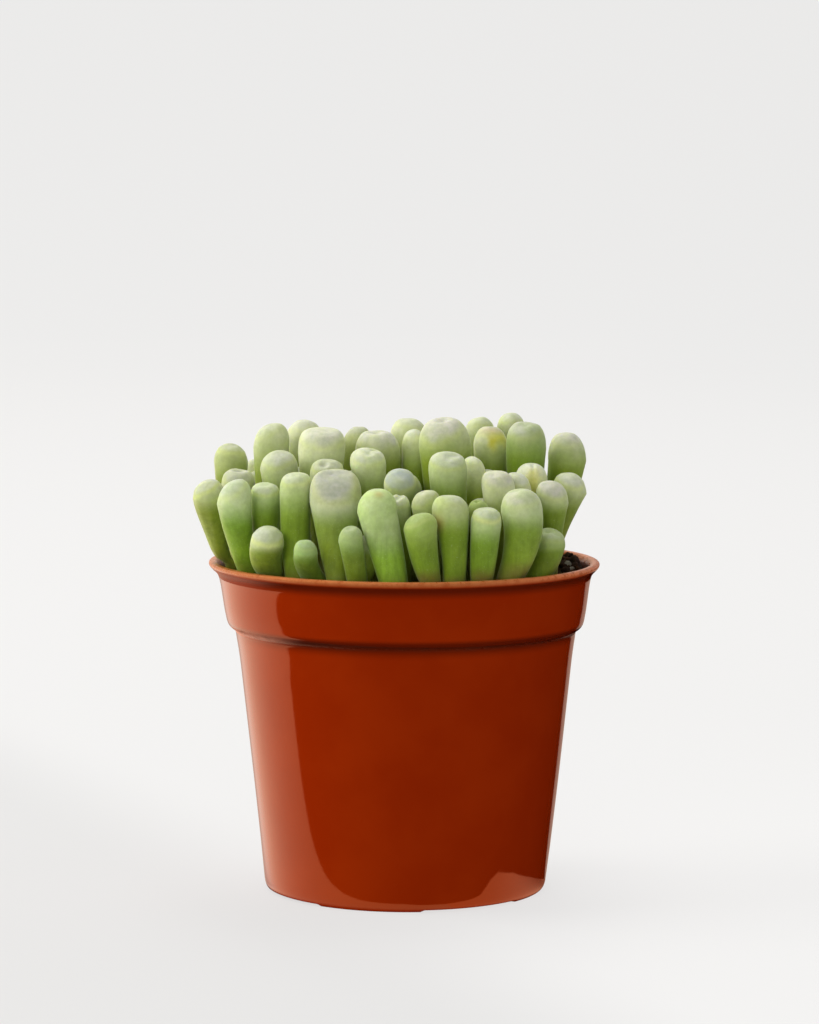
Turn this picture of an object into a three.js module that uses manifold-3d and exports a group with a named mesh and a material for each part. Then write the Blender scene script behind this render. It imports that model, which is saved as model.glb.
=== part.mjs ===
// Potted baby toes (a window-leaved dwarf succulent) in a round injection-moulded
// plastic nursery pot. Millimetres, +Z up. The origin is on the pot's axis, on the
// plane the pot stands on; -Y is the front.
import * as THREE from 'three';
import { mergeVertices } from 'three/addons/utils/BufferGeometryUtils.js';
import Module from 'manifold-3d';

const wasm = await Module();
wasm.setup();

// ---------------------------------------------------------------- driving sizes
const RIM_R = 42.5;            // outer radius of the lip
const POT_H = 71.84;           // height of the lip
const BODY_R0 = 30.67;         // outer radius of the tapered body at the table plane
const BODY_TAPER = 0.1026;     // growth of that radius per mm of height
const BODY_TOP = 55.4;         // where the body runs out into the step of the collar
const WALL = 0.8;              // wall thickness
const FLOOR_T = 1.6;           // top of the floor
const RECESS = 0.8;            // height of the underside between the pads and the feet
const PAD_R = 8.0;             // central pad level with the feet
const FOOT_R_IN = 23.2;        // inner edge of the foot ring
const FOOT_FIRST = -15;        // azimuth of the first foot, degrees, 0 = front, + = right
const FOOT_SPAN = 45;          // each of four feet
const FOOT_GAP_H = 0.55;       // clearance under the gaps between the feet
const DRAIN_R = 3.0;           // drain holes, one in each gap
const DRAIN_PCR = 26.4;
const POT_SEGS = 44;
const SOIL_SEGS = 30;
const SOIL_TOP = 66.9;         // mean level of the peat
const GAP = 0.3;               // clearance of the peat to the pot and to the leaf bases
const LEAF_FOOT_Z = 64.6;      // the leaves end this deep, inside the peat
const LEAF_SIDES = 8;
const FOOT_LEAN = 0.35;        // how much of its lean a leaf keeps below the mouth

// Leaf data: centre of the leaf where it leaves the pot (x y z), centre of the
// widest section (x y z), tip (x y z), half width at the first and second of these,
// depth : width ratio, exponent of the flare, sideways bow (x y).
const LEAVES = [
  ['leaf_01', [-37.48, -2.84, 71.55, -41.79, -13.00, 86.24, -41.57, -13.00, 90.53, 1.43, 3.51, 0.94, 0.80, -0.95, 0.00]],
  ['leaf_02', [-35.89, 4.27, 74.51, -37.95, 6.00, 92.35, -38.18, 6.00, 96.73, 2.40, 3.81, 0.99, 0.78, -0.50, -0.23]],
  ['leaf_03', [-33.57, -15.61, 71.72, -36.10, -21.07, 85.98, -35.21, -21.07, 91.34, 2.16, 3.66, 0.94, 0.78, -0.26, 0.04]],
  ['leaf_04', [-33.94, -4.63, 73.96, -35.85, -7.00, 88.29, -35.85, -7.00, 92.38, 2.24, 3.64, 0.94, 0.78, -0.04, 0.15]],
  ['leaf_08', [-17.18, -3.11, 74.74, -17.97, -3.04, 95.61, -17.87, -3.04, 100.96, 2.78, 5.10, 0.83, 0.94, -0.37, -0.11]],
  ['leaf_10', [-4.60, 1.27, 74.31, -5.78, -0.12, 94.11, -6.03, -0.12, 100.40, 2.79, 5.01, 0.86, 0.94, -0.04, -0.27]],
  ['leaf_12', [-26.36, -7.00, 74.25, -26.99, -8.00, 92.10, -26.77, -8.00, 96.40, 2.70, 4.08, 0.94, 0.78, 0.33, -0.15]],
  ['leaf_13', [-15.92, -11.00, 74.08, -16.58, -12.00, 91.21, -16.59, -12.00, 94.93, 2.23, 3.73, 0.94, 0.78, -0.08, -0.16]],
  ['leaf_15', [-28.36, -21.39, 71.12, -28.91, -26.23, 77.62, -28.69, -26.23, 81.95, 2.71, 3.61, 0.94, 0.62, -0.60, -0.23]],
  ['leaf_16', [-22.52, -22.58, 71.28, -22.98, -21.44, 89.05, -22.76, -21.44, 92.84, 2.77, 3.42, 0.94, 0.80, -0.26, 0.22]],
  ['leaf_17', [-13.97, -30.98, 70.81, -14.46, -24.41, 86.82, -14.58, -24.41, 93.71, 2.27, 5.54, 0.76, 0.95, -0.01, -0.19]],
  ['leaf_18', [-18.78, -27.25, 70.78, -20.56, -32.88, 76.69, -20.78, -32.88, 79.78, 2.91, 2.58, 1.00, 0.62, -0.60, -0.14]],
  ['leaf_20', [-2.17, -34.06, 70.81, -5.69, -32.15, 85.29, -5.49, -32.15, 90.47, 3.03, 4.28, 0.94, 0.78, 0.01, 0.08]],
  ['leaf_23', [3.20, -0.98, 73.06, 2.28, 1.85, 95.07, 2.02, 1.85, 100.34, 2.44, 2.97, 0.99, 0.62, -0.26, -0.22]],
  ['leaf_24', [5.53, -35.00, 70.95, 3.38, -35.29, 82.09, 3.91, -35.29, 85.72, 2.09, 3.63, 0.94, 0.58, -0.31, 0.29]],
  ['leaf_26', [0.84, 8.69, 74.20, 0.96, 9.68, 98.16, 0.71, 9.68, 102.31, 2.55, 4.05, 0.94, 0.78, 0.38, -0.18]],
  ['leaf_27', [10.15, -2.53, 72.61, 8.73, -3.83, 96.44, 8.47, -3.83, 103.49, 3.02, 5.69, 0.80, 0.70, 0.01, -0.00]],
  ['leaf_28', [10.48, -33.43, 70.79, 9.74, -31.02, 84.62, 9.27, -31.02, 89.14, 2.33, 3.95, 0.94, 1.33, 0.33, -0.28]],
  ['leaf_29', [10.89, -13.05, 73.78, 9.27, -16.01, 92.75, 9.02, -16.01, 96.90, 2.74, 4.15, 0.94, 0.78, -0.15, 0.06]],
  ['leaf_31', [19.21, 4.01, 73.68, 18.85, 4.00, 95.84, 18.58, 4.00, 101.00, 2.67, 3.86, 0.94, 0.62, -0.03, 0.23]],
  ['leaf_34', [27.13, -1.00, 73.17, 26.29, -1.48, 96.32, 26.24, -1.48, 102.60, 2.65, 4.44, 0.94, 0.70, -0.50, 0.11]],
  ['leaf_35', [31.65, 6.00, 72.86, 35.53, 6.00, 93.11, 35.25, 6.00, 99.56, 1.97, 4.15, 0.94, 0.80, 0.27, -0.04]],
  ['leaf_36', [31.03, -5.00, 72.54, 35.47, -7.00, 87.09, 35.20, -7.00, 91.86, 1.84, 3.81, 0.94, 1.00, -0.35, 0.15]],
  ['leaf_37', [30.84, -13.45, 72.84, 31.62, -15.00, 85.90, 31.02, -15.00, 90.74, 2.22, 3.50, 0.94, 0.70, -0.27, 0.25]],
  ['leaf_38', [22.24, -27.95, 71.04, 24.76, -27.00, 84.92, 24.50, -27.00, 90.13, 2.84, 4.42, 0.88, 0.70, 1.20, -0.10]],
  ['leaf_39', [28.01, -21.00, 70.68, 30.61, -21.00, 77.31, 30.69, -21.00, 81.23, 3.37, 3.59, 0.94, 0.62, 0.35, -0.21]],
  ['leaf_40', [16.23, -32.51, 70.70, 17.13, -32.28, 82.89, 17.11, -32.28, 86.64, 2.13, 3.22, 0.99, 0.55, 0.01, -0.25]],
  ['leaf_41', [15.82, -26.00, 71.21, 15.76, -24.52, 84.63, 15.52, -24.52, 87.41, 1.48, 2.38, 1.00, 0.78, 0.37, 0.05]],
  ['leaf_43', [27.29, -9.16, 73.64, 27.22, -8.71, 90.02, 27.18, -8.71, 93.99, 2.36, 3.53, 0.94, 0.78, 0.24, 0.12]],
];
// Leaves of this plant grow in opposite pairs joined at the base.
const PAIRS = [
  ['leaf_pair_01', [-31.49, 14.87, 73.39, -32.90, 16.83, 88.55, -33.13, 16.83, 92.52, 2.03, 2.73, 0.99, 0.78, -0.25, 0.25],
                    [-31.11, 11.21, 73.38, -30.95, 9.78, 86.54, -31.17, 9.95, 90.83, 2.26, 3.90, 0.95, 0.80, 0.00, 0.00]],
  ['leaf_pair_02', [-28.20, 1.76, 74.82, -29.03, 0.94, 96.10, -28.35, 0.94, 101.59, 2.53, 3.90, 0.88, 0.78, -0.23, 0.16],
                    [-24.70, 2.68, 74.79, -22.21, 2.73, 88.81, -22.23, 2.84, 92.00, 1.68, 2.90, 0.95, 0.80, 0.00, 0.00]],
  ['leaf_pair_03', [-22.24, 8.76, 74.09, -22.30, 9.64, 96.52, -21.85, 9.64, 101.95, 2.55, 4.16, 0.94, 0.78, -0.35, -0.02],
                    [-19.16, 6.65, 74.07, -16.23, 4.71, 88.60, -16.25, 4.57, 92.00, 1.79, 3.09, 0.95, 0.80, 0.00, 0.00]],
  ['leaf_pair_04', [-11.01, 8.18, 73.54, -10.43, 8.07, 95.37, -9.98, 8.07, 100.57, 2.28, 3.48, 0.94, 0.78, -0.15, 0.13],
                    [-9.16, 11.04, 73.56, -7.60, 14.07, 88.81, -7.69, 13.78, 92.00, 1.68, 2.90, 0.95, 0.80, 0.00, 0.00]],
  ['leaf_pair_05', [-6.90, -9.09, 74.56, -7.82, -11.37, 93.34, -8.06, -11.37, 97.28, 1.83, 3.95, 0.94, 1.50, 0.40, 0.23],
                    [-8.54, -6.55, 74.44, -10.77, -5.31, 88.81, -10.57, -5.25, 92.00, 1.68, 2.90, 0.95, 0.80, 0.00, 0.00]],
  ['leaf_pair_06', [-28.64, -13.50, 71.93, -29.56, -16.93, 86.67, -29.67, -16.93, 90.26, 2.58, 3.21, 0.99, 0.70, -0.30, -0.28],
                    [-25.11, -14.95, 72.10, -23.00, -15.00, 77.69, -22.81, -14.97, 81.24, 1.87, 3.22, 0.95, 0.80, 0.00, 0.00]],
  ['leaf_pair_07', [-9.76, -33.41, 71.12, -11.10, -35.16, 79.50, -11.00, -35.16, 82.91, 2.19, 2.67, 1.00, 0.62, 0.02, -0.13],
                    [-8.52, -30.31, 71.07, -6.15, -25.96, 78.01, -6.24, -25.98, 81.20, 1.68, 2.90, 0.95, 0.80, 0.00, 0.00]],
  ['leaf_pair_08', [-0.01, -24.50, 70.97, -0.92, -23.88, 85.55, -1.16, -23.88, 88.56, 1.48, 2.27, 1.00, 0.78, 0.03, -0.06],
                    [-2.11, -22.54, 70.97, -7.93, -18.52, 83.40, -7.90, -18.53, 86.93, 1.86, 3.20, 0.95, 0.80, 0.00, 0.00]],
  ['leaf_pair_09', [-0.45, -13.00, 73.30, -0.94, -17.00, 89.59, -0.96, -17.00, 93.29, 2.09, 3.49, 0.99, 0.78, 0.23, 0.22],
                    [-0.11, -9.27, 73.30, 0.00, -7.99, 87.32, -0.08, -7.98, 91.61, 2.26, 3.90, 0.95, 0.80, 0.00, 0.00]],
  ['leaf_pair_10', [5.48, -25.07, 71.48, 4.36, -25.69, 85.97, 5.01, -25.69, 89.52, 2.06, 3.02, 0.94, 0.78, 0.35, -0.16],
                    [8.34, -23.55, 71.47, 10.73, -22.02, 84.62, 10.69, -22.23, 87.84, 1.70, 2.92, 0.95, 0.80, 0.00, 0.00]],
  ['leaf_pair_11', [15.12, -6.91, 73.55, 14.96, -8.96, 90.86, 14.48, -8.96, 95.38, 2.16, 2.76, 0.99, 0.70, -0.35, -0.16],
                    [17.06, -4.05, 73.45, 17.93, -2.55, 88.47, 17.77, -2.37, 92.00, 1.86, 3.21, 0.95, 0.80, 0.00, 0.00]],
  ['leaf_pair_12', [16.30, 11.98, 73.91, 16.61, 13.00, 97.96, 16.58, 13.00, 102.37, 2.42, 3.50, 0.94, 0.78, 0.21, 0.20],
                    [13.13, 9.49, 73.91, 10.00, 7.00, 87.71, 10.06, 6.72, 92.00, 2.26, 3.90, 0.95, 0.80, 0.00, 0.00]],
  ['leaf_pair_13', [22.94, 12.49, 73.88, 23.48, 14.89, 98.95, 23.45, 14.89, 103.13, 2.29, 3.17, 0.94, 0.78, 0.21, 0.12],
                    [25.22, 9.31, 73.84, 26.12, 7.63, 87.71, 25.87, 7.41, 92.00, 2.26, 3.90, 0.95, 0.80, 0.00, 0.00]],
  ['leaf_pair_14', [20.47, -17.94, 73.51, 20.09, -19.15, 88.38, 19.39, -19.15, 93.19, 2.34, 3.59, 0.88, 0.70, 0.24, -0.13],
                    [18.45, -15.13, 73.35, 16.60, -13.63, 83.59, 16.35, -13.82, 86.78, 1.68, 2.90, 0.95, 0.80, 0.00, 0.00]],
  ['leaf_pair_15', [24.15, -14.21, 73.32, 24.27, -14.27, 88.59, 23.57, -14.27, 92.41, 2.22, 2.85, 0.94, 0.70, 0.11, 0.27],
                    [22.33, -11.39, 73.35, 20.65, -8.13, 87.49, 20.89, -8.30, 90.68, 1.68, 2.90, 0.95, 0.80, 0.00, 0.00]],
  ['leaf_pair_16', [-27.13, 18.85, 71.50, -32.85, 23.12, 84.17, -33.84, 23.55, 87.62, 2.13, 3.72, 0.92, 0.81, -0.05, -0.05],
                    [-23.33, 19.05, 71.50, -24.16, 23.48, 84.58, -24.17, 24.36, 88.91, 2.28, 3.91, 0.90, 0.74, 0.15, 0.20]],
  ['leaf_pair_17', [-16.96, 15.15, 71.50, -22.60, 16.57, 86.83, -23.47, 16.69, 90.64, 2.08, 3.88, 0.91, 0.87, -0.13, 0.10],
                    [-13.64, 16.60, 71.50, -13.24, 16.89, 83.23, -12.94, 17.65, 87.08, 2.12, 3.70, 0.89, 0.89, -0.23, 0.03]],
  ['leaf_pair_18', [-5.12, 18.38, 71.50, -7.20, 21.61, 84.66, -7.97, 22.49, 88.82, 1.89, 3.74, 0.96, 0.85, 0.22, -0.26],
                    [-3.12, 15.76, 71.50, -1.41, 15.50, 85.75, -0.93, 15.64, 89.23, 1.94, 3.68, 0.92, 0.87, 0.18, -0.29]],
  ['leaf_pair_19', [6.75, 16.43, 71.50, 6.20, 15.18, 86.08, 5.84, 15.38, 90.19, 1.83, 3.61, 0.96, 0.93, 0.37, -0.02],
                    [8.81, 19.03, 71.50, 9.12, 22.41, 84.08, 9.81, 23.03, 87.72, 2.02, 3.53, 0.88, 0.89, -0.07, 0.13]],
  ['leaf_pair_20', [16.46, 19.70, 71.50, 16.71, 19.95, 85.44, 16.48, 20.55, 89.84, 2.17, 4.15, 0.98, 0.83, 0.02, 0.14],
                    [20.19, 18.78, 71.50, 27.78, 19.37, 82.08, 29.05, 20.10, 85.96, 2.30, 4.06, 0.96, 0.68, -0.33, 0.04]],
  ['leaf_pair_21', [-22.32, 25.27, 71.50, -28.47, 29.19, 81.87, -29.88, 30.16, 85.84, 2.18, 3.75, 0.94, 0.95, 0.05, 0.26],
                    [-18.54, 25.31, 71.50, -20.09, 30.78, 87.07, -19.88, 31.35, 91.21, 2.21, 4.05, 0.89, 0.94, -0.37, -0.03]],
  ['leaf_pair_22', [-11.73, 23.73, 71.50, -15.02, 24.32, 86.05, -15.80, 24.84, 90.02, 2.31, 3.97, 0.91, 0.69, 0.10, 0.03],
                    [-8.17, 25.05, 71.50, -5.98, 29.71, 85.02, -5.64, 30.67, 89.17, 2.11, 3.85, 0.96, 0.81, -0.34, 0.06]],
  ['leaf_pair_23', [-0.21, 23.26, 71.50, 0.04, 23.93, 86.00, -0.34, 24.47, 89.98, 2.07, 3.58, 0.89, 0.94, -0.22, -0.18],
                    [2.40, 25.56, 71.50, 4.11, 29.55, 82.99, 4.72, 30.37, 86.38, 1.98, 3.64, 0.88, 0.87, 0.30, -0.18]],
  ['leaf_pair_24', [12.47, 26.18, 71.50, 11.92, 28.36, 81.15, 11.53, 29.59, 85.51, 1.94, 3.92, 0.92, 0.69, -0.04, 0.15],
                    [15.63, 27.70, 71.50, 20.24, 33.76, 85.92, 21.00, 34.63, 90.06, 2.13, 3.73, 0.91, 0.93, 0.17, 0.03]],
  ['leaf_pair_25', [-16.93, 31.15, 71.50, -21.72, 37.71, 84.28, -22.83, 38.86, 88.75, 2.13, 4.09, 0.88, 0.73, 0.25, -0.02],
                    [-13.42, 31.00, 71.50, -12.57, 33.89, 85.77, -12.28, 34.76, 89.67, 1.94, 3.78, 0.90, 0.79, 0.10, 0.19]],
  ['leaf_pair_26', [-5.15, 32.50, 71.50, -8.78, 38.94, 80.79, -9.55, 40.41, 84.32, 2.00, 3.74, 0.89, 0.76, 0.14, 0.09],
                    [-1.99, 31.05, 71.50, -1.47, 33.30, 79.94, -0.90, 34.59, 83.45, 2.05, 3.56, 0.90, 0.85, -0.08, 0.03]],
  ['leaf_pair_27', [7.00, 31.84, 71.50, 5.45, 37.27, 84.08, 4.85, 38.23, 88.24, 2.28, 4.11, 0.91, 0.89, -0.08, 0.15],
                    [10.52, 32.10, 71.50, 14.29, 38.30, 85.16, 15.11, 39.44, 89.14, 1.82, 3.59, 1.00, 0.96, -0.10, -0.02]],
  ['leaf_pair_28', [21.00, 25.22, 71.50, 22.51, 25.96, 84.84, 22.40, 26.42, 88.92, 2.15, 4.03, 0.95, 0.92, 0.20, 0.00],
                    [24.87, 24.80, 71.50, 32.09, 28.19, 83.48, 33.34, 29.25, 87.65, 2.38, 4.11, 0.90, 0.96, -0.13, 0.20]],
];

// ---------------------------------------------------------------- helpers
const bare = (geometry) => {
  const g = geometry.clone();
  for (const name of Object.keys(g.attributes)) if (name !== 'position') g.deleteAttribute(name);
  return mergeVertices(g, 1e-4);
};

const volumeOf = (g) => {
  const p = g.attributes.position, ix = g.index;
  const a = new THREE.Vector3(), b = new THREE.Vector3(), c = new THREE.Vector3();
  let v = 0;
  for (let i = 0; i < ix.count; i += 3) {
    a.fromBufferAttribute(p, ix.getX(i));
    b.fromBufferAttribute(p, ix.getX(i + 1));
    c.fromBufferAttribute(p, ix.getX(i + 2));
    v += a.dot(b.cross(c)) / 6;
  }
  return v;
};

// closed mesh with its faces turned outwards and no triangles of zero area
const closed = (geometry) => {
  const g = bare(geometry);
  const ix = Array.from(g.index.array);
  const keep = [];
  for (let i = 0; i < ix.length; i += 3) {
    const [a, b, c] = ix.slice(i, i + 3);
    if (a !== b && b !== c && a !== c) keep.push(a, b, c);
  }
  g.setIndex(keep);
  if (volumeOf(g) < 0) {
    for (let i = 0; i < keep.length; i += 3) [keep[i + 1], keep[i + 2]] = [keep[i + 2], keep[i + 1]];
    g.setIndex(keep);
  }
  return g;
};

const toSolid = (geometry) => {
  const g = closed(geometry);
  return new wasm.Manifold(new wasm.Mesh({
    numProp: 3,
    vertProperties: new Float32Array(g.attributes.position.array),
    triVerts: new Uint32Array(g.index.array),
  }));
};

const fromSolid = (solid) => {
  const m = solid.getMesh();
  const g = new THREE.BufferGeometry();
  g.setAttribute('position', new THREE.BufferAttribute(new Float32Array(m.vertProperties), 3));
  g.setIndex(new THREE.BufferAttribute(new Uint32Array(m.triVerts), 1));
  return g;
};

// a turned shape about +Z from [radius, height] pairs
const turned = (profile, segments) => {
  const g = new THREE.LatheGeometry(profile.map(([r, z]) => new THREE.Vector2(r, z)), segments);
  g.rotateX(Math.PI / 2);      // lathe axis Y becomes Z
  return g;
};

// ---------------------------------------------------------------- pot
const bodyR = (z) => BODY_R0 + BODY_TAPER * z;

const potProfile = [
  [0, 0], [PAD_R, 0], [PAD_R + 0.35, RECESS], [FOOT_R_IN, RECESS], [FOOT_R_IN + 0.35, 0],
  [29.5, 0], [30.2, 0.35], [30.86, 2.07], [31.07, 3.85],
  [bodyR(BODY_TOP), BODY_TOP],
  [36.9, 56.5], [38.3, 57.65], [38.85, 59.1], [39.2, 60.45],
  [40.0, 66.6], [40.35, 68.3], [41.1, 70.0], [42.2, 70.8], [RIM_R, 71.3],
  [42.1, POT_H], [40.9, POT_H], [39.95, 70.3], [39.55, 68.7],
  [39.2, 66.6], [38.35, 60.8], [37.8, 59.0],
  [36.2, 57.3], [35.6, 56.2], [bodyR(BODY_TOP - 0.6) - WALL, BODY_TOP - 0.6],
  [bodyR(4) - WALL, 4], [29.1, FLOOR_T], [0, FLOOR_T],
];

const azimuth = (deg, r) => {
  const a = THREE.MathUtils.degToRad(deg);
  return [r * Math.sin(a), -r * Math.cos(a)];
};

const makePot = () => {
  let solid = toSolid(turned(potProfile, POT_SEGS));
  for (let k = 0; k < 4; k++) {
    // gap between two feet
    const from = FOOT_FIRST + FOOT_SPAN / 2 + 90 * k;
    const sector = new THREE.Shape();
    const n = 8, span = 90 - FOOT_SPAN;
    for (let i = 0; i <= n; i++) {
      const [x, y] = azimuth(from + (span * i) / n, 34);
      if (i === 0) sector.moveTo(x, y); else sector.lineTo(x, y);
    }
    for (let i = n; i >= 0; i--) {
      const [x, y] = azimuth(from + (span * i) / n, FOOT_R_IN - 0.6);
      sector.lineTo(x, y);
    }
    sector.closePath();
    const wedge = new THREE.ExtrudeGeometry(sector, { depth: FOOT_GAP_H + 1, bevelEnabled: false });
    wedge.translate(0, 0, -1);
    solid = solid.subtract(toSolid(wedge));
    // drain hole in the middle of the gap
    const drill = new THREE.CylinderGeometry(DRAIN_R, DRAIN_R, 6, 16);
    drill.rotateX(Math.PI / 2);
    const [x, y] = azimuth(from + span / 2, DRAIN_PCR);
    drill.translate(x, y, 1);
    solid = solid.subtract(toSolid(drill));
  }
  return fromSolid(solid);
};

// ---------------------------------------------------------------- leaves
const SECTIONS = [0.02, 0.28, 0.68, 1];      // from the pot's mouth to the widest section
const DOME = [0.55, 0.85];                     // and on towards the tip

// under the pot's mouth a leaf stands more upright than above it
const below = (B, H, z) => {
  const t = (z - B.z) / (H.z - B.z);
  const k = t < 0 ? FOOT_LEAN * t : t;
  return new THREE.Vector3(B.x + (H.x - B.x) * k, B.y + (H.y - B.y) * k, z);
};

// One leaf: a turned club shape whose sections are carried along the leaf's axis.
const leafGeometry = (d, origin) => {
  const B = new THREE.Vector3(d[0], d[1], d[2]);
  const H = new THREE.Vector3(d[3], d[4], d[5]);
  const A = new THREE.Vector3(d[6], d[7], d[8]);
  const [ab, am, flat, flare, bowX, bowY] = d.slice(9);
  const t0 = (LEAF_FOOT_Z - B.z) / (H.z - B.z);
  const stations = [[t0, 0], [t0, 1], ...SECTIONS.map((t) => [t, 1]),
    ...DOME.map((s) => [1 + s, 1]), [2, 0]];
  const radius = (t) => {
    if (t < 0) return ab * (1 + 0.35 * t);
    if (t <= 1) return ab + (am - ab) * Math.pow(t, flare);
    return am * Math.pow(1 - Math.pow(t - 1, 2.2), 1 / 2.2);
  };
  const profile = stations.map(([t, on], i) => new THREE.Vector2(on ? 1 : 0, i));
  const g = new THREE.LatheGeometry(profile, LEAF_SIDES);
  const p = g.attributes.position;
  const v = new THREE.Vector3(), c = new THREE.Vector3();
  for (let i = 0; i < p.count; i++) {
    v.fromBufferAttribute(p, i);
    const [t, on] = stations[Math.round(v.y)];
    const ang = Math.atan2(v.z, v.x);
    const along = THREE.MathUtils.clamp(t, 0, 1);
    if (t < 0) c.copy(below(B, H, B.z + (H.z - B.z) * t));
    else if (t <= 1) c.lerpVectors(B, H, t);
    else c.lerpVectors(H, A, t - 1);
    c.x += bowX * 4 * along * (1 - along);
    c.y += bowY * 4 * along * (1 - along);
    const r = on ? radius(Math.min(t, 1.999)) : 0;
    const f = 1 - (1 - flat) * along;
    p.setXYZ(i, c.x + r * Math.cos(ang) - origin.x, c.y + r * f * Math.sin(ang) - origin.y, c.z - origin.z);
  }
  return closed(g);
};

// The pocket one leaf makes in the peat: a six-sided prism along the leaf's axis.
const pocketSolid = (d) => {
  const B = new THREE.Vector3(d[0], d[1], d[2]);
  const H = new THREE.Vector3(d[3], d[4], d[5]);
  const flat = d[11], r = (d[9] * 1.04 + GAP) / Math.cos(Math.PI / 6);
  const g = new THREE.LatheGeometry([[0, 0], [1, 0], [1, 1], [0, 1]].map(([x, y]) => new THREE.Vector2(x, y)), 6);
  const p = g.attributes.position;
  for (let i = 0; i < p.count; i++) {
    const c = below(B, H, p.getY(i) < 0.5 ? LEAF_FOOT_Z - GAP : B.z);
    p.setXYZ(i, c.x + r * p.getX(i), c.y + r * p.getZ(i), c.z);
  }
  return toSolid(g);
};

// ---------------------------------------------------------------- peat
// the peat's surface: nearly level, a little lumpy, heaped against the rim at the
// right rear, where no leaves grow
const peatLevel = (x, y) => {
  const heap = 2.2 * Math.exp(-((x - 34) ** 2 + (y - 14) ** 2) / 150);
  const lumps = 0.35 * Math.sin(x * 0.43 + 1.1) * Math.cos(y * 0.37 - 0.4) + 0.2 * Math.sin(x * 0.9 - y * 0.7);
  return SOIL_TOP + heap + lumps;
};

const potInside = [[4, bodyR(4) - WALL], [54.8, bodyR(54.8) - WALL], [56.2, 35.6],
  [57.3, 36.2], [59, 37.8], [60.8, 38.35], [66.6, 39.2], [68.7, 39.55], [70.3, 39.95]];
const insideR = (z) => {
  for (let i = 1; i < potInside.length; i++) {
    if (z <= potInside[i][0]) {
      const [z0, r0] = potInside[i - 1], [z1, r1] = potInside[i];
      return r0 + ((r1 - r0) * (z - z0)) / (z1 - z0);
    }
  }
  return potInside.at(-1)[1];
};

const makePeat = (pockets) => {
  const clear = GAP + 0.08;
  const side = potInside.filter(([z]) => z < 65).map(([z, r]) => [r - clear, z]);
  const rings = [1, 0.8, 0.58, 0.36];
  const profile = [[0, FLOOR_T + GAP], [28.2, FLOOR_T + GAP], ...side,
    ...rings.map((k, i) => [38.8 * k, 200 + i]), [0, 300]];
  const g = turned(profile, SOIL_SEGS);
  const p = g.attributes.position;
  for (let i = 0; i < p.count; i++) {
    // rotateX by +90 degrees mirrors nothing: z is the profile height
    const z = p.getZ(i);
    if (z < 150) continue;
    let x = p.getX(i), y = p.getY(i);
    const level = peatLevel(x, y);
    if (Math.abs(z - 200) < 0.5) {
      const k = (insideR(level) - clear) / Math.hypot(x, y);
      x *= k; y *= k;
    }
    p.setXYZ(i, x, y, level);
  }
  let solid = toSolid(g);
  for (const pocket of pockets) solid = solid.subtract(pocket);
  return fromSolid(solid);
};

// ---------------------------------------------------------------- assembly
const plasticMaterial = new THREE.MeshStandardMaterial({ color: 0x8a2a08, roughness: 0.24, metalness: 0 });
const peatMaterial = new THREE.MeshStandardMaterial({ color: 0x2a1c14, roughness: 0.95, metalness: 0 });
const leafMaterial = (i) => {
  const c = new THREE.Color().setHSL(0.205 + 0.02 * Math.sin(i * 2.4), 0.36 + 0.05 * Math.cos(i * 1.7), 0.42 + 0.03 * Math.sin(i * 3.1));
  return new THREE.MeshStandardMaterial({ color: c, roughness: 0.5, metalness: 0 });
};

const add = (parent, name, geometry, material, at) => {
  const g = geometry.index ? geometry : mergeVertices(geometry);
  g.computeVertexNormals();
  const mesh = new THREE.Mesh(g, material);
  mesh.name = name;
  if (at) mesh.position.copy(at);
  parent.add(mesh);
  return mesh;
};

const object = new THREE.Group();
object.name = 'potted_baby_toes';
const potGroup = new THREE.Group();
const plant = new THREE.Group();
object.add(potGroup, plant);

add(potGroup, 'pot', makePot(), plasticMaterial);

const pockets = [];
LEAVES.forEach(([name, d], i) => {
  const at = new THREE.Vector3(d[0], d[1], d[2]);
  add(plant, name, leafGeometry(d, at), leafMaterial(i), at);
  pockets.push(pocketSolid(d));
});
PAIRS.forEach(([name, a, b], i) => {
  const at = new THREE.Vector3((a[0] + b[0]) / 2, (a[1] + b[1]) / 2, (a[2] + b[2]) / 2);
  const joined = toSolid(leafGeometry(a, at)).add(toSolid(leafGeometry(b, at)));
  add(plant, name, fromSolid(joined), leafMaterial(i + 50), at);
  pockets.push(pocketSolid(a), pocketSolid(b));
});

add(potGroup, 'soil', makePeat(pockets), peatMaterial);

export default object;
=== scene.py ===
# Potted baby toes: fine surfaces, materials, light and camera. Metres, +Z up,
# origin on the pot's axis on the plane it stands on, -Y is the front.
import math
import bpy
import numpy as np
from mathutils import Matrix, Vector


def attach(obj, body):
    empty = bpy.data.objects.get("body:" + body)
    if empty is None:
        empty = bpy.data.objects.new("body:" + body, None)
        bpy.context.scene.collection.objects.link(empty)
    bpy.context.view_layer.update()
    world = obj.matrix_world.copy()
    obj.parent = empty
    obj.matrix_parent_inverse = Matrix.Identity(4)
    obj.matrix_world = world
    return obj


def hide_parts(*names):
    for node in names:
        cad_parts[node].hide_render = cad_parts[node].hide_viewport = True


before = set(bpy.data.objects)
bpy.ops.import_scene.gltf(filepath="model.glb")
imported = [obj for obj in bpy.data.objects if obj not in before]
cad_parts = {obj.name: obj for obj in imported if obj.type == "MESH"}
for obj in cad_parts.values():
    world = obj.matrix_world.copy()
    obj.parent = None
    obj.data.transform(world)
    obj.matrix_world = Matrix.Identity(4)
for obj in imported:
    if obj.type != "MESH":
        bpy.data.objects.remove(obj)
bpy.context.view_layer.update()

MM = 0.001

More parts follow.
